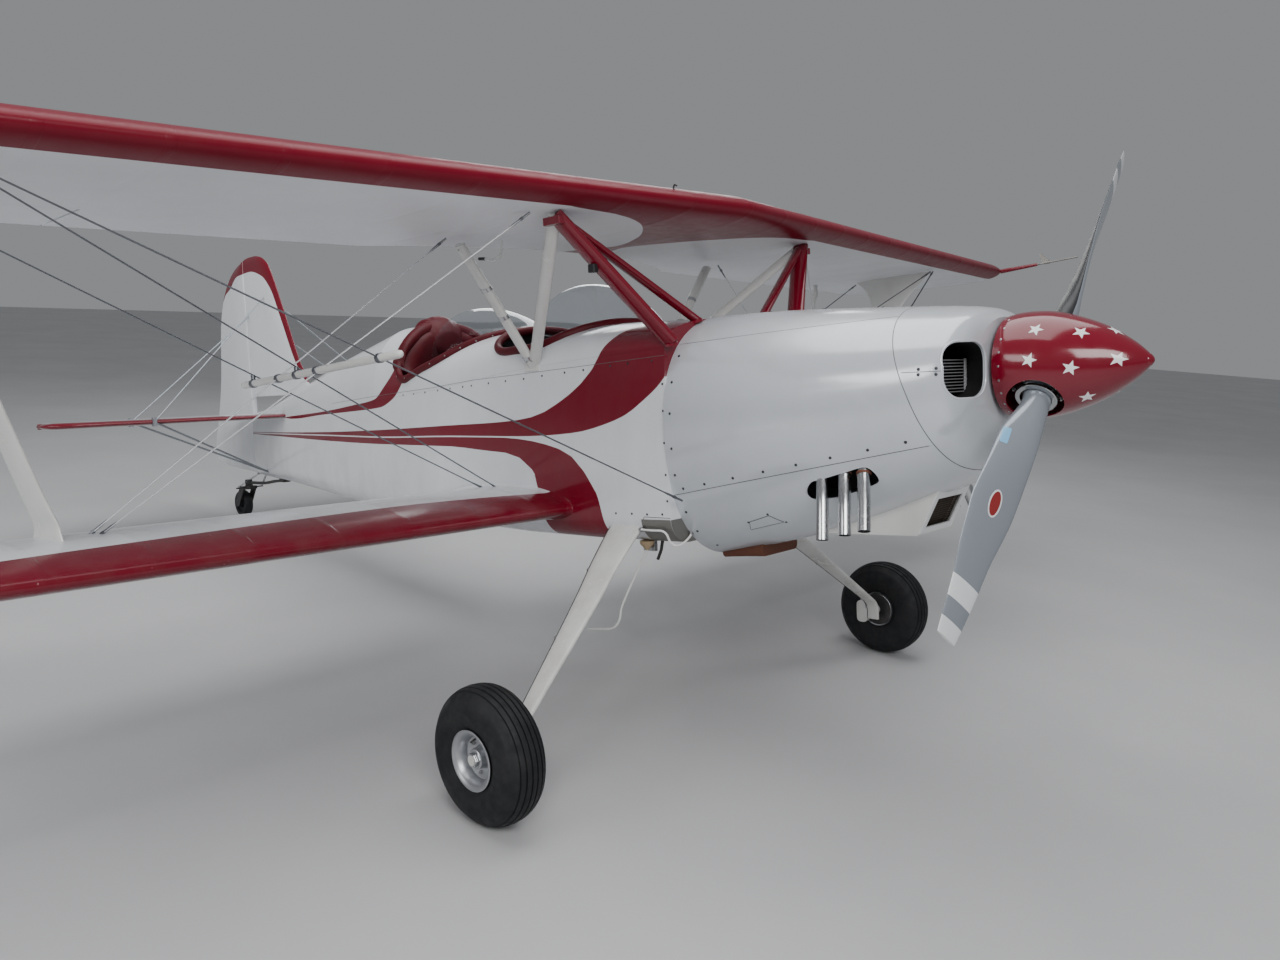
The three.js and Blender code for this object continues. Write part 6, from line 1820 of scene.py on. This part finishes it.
def smoother(threshold):
    tree = bpy.data.node_groups.new("smooth_faces", "GeometryNodeTree")
    tree.interface.new_socket("Geometry", in_out="INPUT", socket_type="NodeSocketGeometry")
    tree.interface.new_socket("Geometry", in_out="OUTPUT", socket_type="NodeSocketGeometry")
    start, end = tree.nodes.new("NodeGroupInput"), tree.nodes.new("NodeGroupOutput")
    weld = tree.nodes.new("GeometryNodeMergeByDistance")
    weld.inputs["Distance"].default_value = 0.00005
    faces = tree.nodes.new("GeometryNodeSetShadeSmooth")
    edges = tree.nodes.new("GeometryNodeSetShadeSmooth")
    faces.domain, edges.domain = "FACE", "EDGE"
    edges.inputs["Shade Smooth"].default_value = False
    bend = tree.nodes.new("GeometryNodeInputMeshEdgeAngle")
    sharp = tree.nodes.new("FunctionNodeCompare")
    sharp.data_type, sharp.operation = "FLOAT", "GREATER_THAN"
    sharp.inputs[1].default_value = math.radians(threshold)
    for giver, taker, socket in ((start, weld, "Geometry"), (weld, faces, "Geometry"), (faces, edges, "Geometry"),
                                 (bend, sharp, 0), (sharp, edges, "Selection"), (edges, end, 0)):
        tree.links.new(giver.outputs[0], taker.inputs[socket])
    return tree


SMOOTH = smoother(40)


def dress(node, material):
    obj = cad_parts[node]
    if not obj.material_slots:
        obj.data.materials.append(None)
    for entry in obj.material_slots:
        entry.link = "OBJECT"
        entry.material = material
    if "custom_normal" in obj.data.attributes:
        obj.data.attributes.remove(obj.data.attributes["custom_normal"])
    obj.modifiers.new("smooth_faces", "NODES").node_group = SMOOTH


for material, nodes in ((iron, ["engine"]), (steel, ["prop_hub"]),
                        (black_paint, ["panel_front", "panel_rear", "control_sticks", "tail_spring",
                                       "tailwheel_fork"]),
                        (tyre_rubber, ["tailwheel"]), (brace_wire, ["tail_brace_left", "tail_brace_right"]),
                        (white_paint, ["aileron_rod_left", "aileron_rod_right", "intake_scoop"])):
    for node in nodes:
        dress(node, material)


# Floor, light and camera

def studio_floor():
    mesh = bpy.data.meshes.new("studio_floor")
    mesh.from_pydata([(-40, -40, 0), (40, -40, 0), (40, 40, 0), (-40, 40, 0)], [], [(0, 1, 2, 3)])
    floor = in_scene("studio_floor", mesh)
    material, n, shader = new_material("pale_floor", Specular_IOR_Level=0.25)
    tone = n.rescale(n.noise(0.7, 4), 0.3, 0.7)
    n.put(shader.inputs["Base Color"], n.blend(tone, (0.50, 0.505, 0.51, 1), (0.56, 0.56, 0.565, 1)))
    n.put(shader.inputs["Roughness"], n.rescale(n.noise(3, 4), 0.3, 0.7, 0.5, 0.62))
    mesh.materials.append(material)


def soft_light(name, place, aim, size, power, tall=None):
    light = bpy.data.lights.new(name, "AREA")
    light.energy = power
    light.shape, light.size, light.size_y = "RECTANGLE", size, tall or size
    lamp = in_scene(name, light)
    lamp.location = place
    lamp.rotation_euler = (Vector(aim) - Vector(place)).to_track_quat("-Z", "Y").to_euler()


studio_floor()
soft_light("overhead_panel", (0.5, 0, 6.5), (0, 0, 0.5), 7.0, 330, 5.0)
soft_light("key_panel", (6.5, -4.5, 4.8), (0.6, 0, 1.0), 4.0, 300, 2.6)
soft_light("side_panel", (-1.0, -8.5, 3.6), (-0.5, 0, 1.0), 6.0, 210, 2.2)
soft_light("back_panel", (-5.5, 6.5, 4.5), (0, 0, 1.0), 5.0, 150, 3.0)
world = bpy.data.worlds.new("studio")
world.use_nodes = True
sky = world.node_tree.nodes["Background"].inputs
sky["Color"].default_value, sky["Strength"].default_value = (0.78, 0.80, 0.83, 1), 0.33
bpy.context.scene.world = world

YAW, PITCH, ROLL = math.radians(-42.65038), math.radians(10.52101), math.radians(3.22162)
FOCAL = 983.278                          # pixels, on an image 1280 wide


def photo_camera():
    data = bpy.data.cameras.new("photo_camera")
    data.sensor_fit, data.sensor_width, data.lens = "HORIZONTAL", 36.0, 36.0 * FOCAL / 1280
    data.clip_end = 200
    camera = in_scene("photo_camera", data)
    look = Vector((math.sin(YAW) * math.cos(PITCH), math.cos(YAW) * math.cos(PITCH), -math.sin(PITCH)))
    level_right = look.cross(Vector((0, 0, 1))).normalized()
    level_up = level_right.cross(look)
    right = level_right * math.cos(ROLL) + level_up * math.sin(ROLL)
    up = level_up * math.cos(ROLL) - level_right * math.sin(ROLL)
    turn = Matrix((right, up, -look)).transposed().to_4x4()
    camera.matrix_world = Matrix.Translation((ORIGIN_X + 2.3300, -3.14876, ORIGIN_Z + 1.71127)) @ turn
    bpy.context.scene.camera = camera


photo_camera()
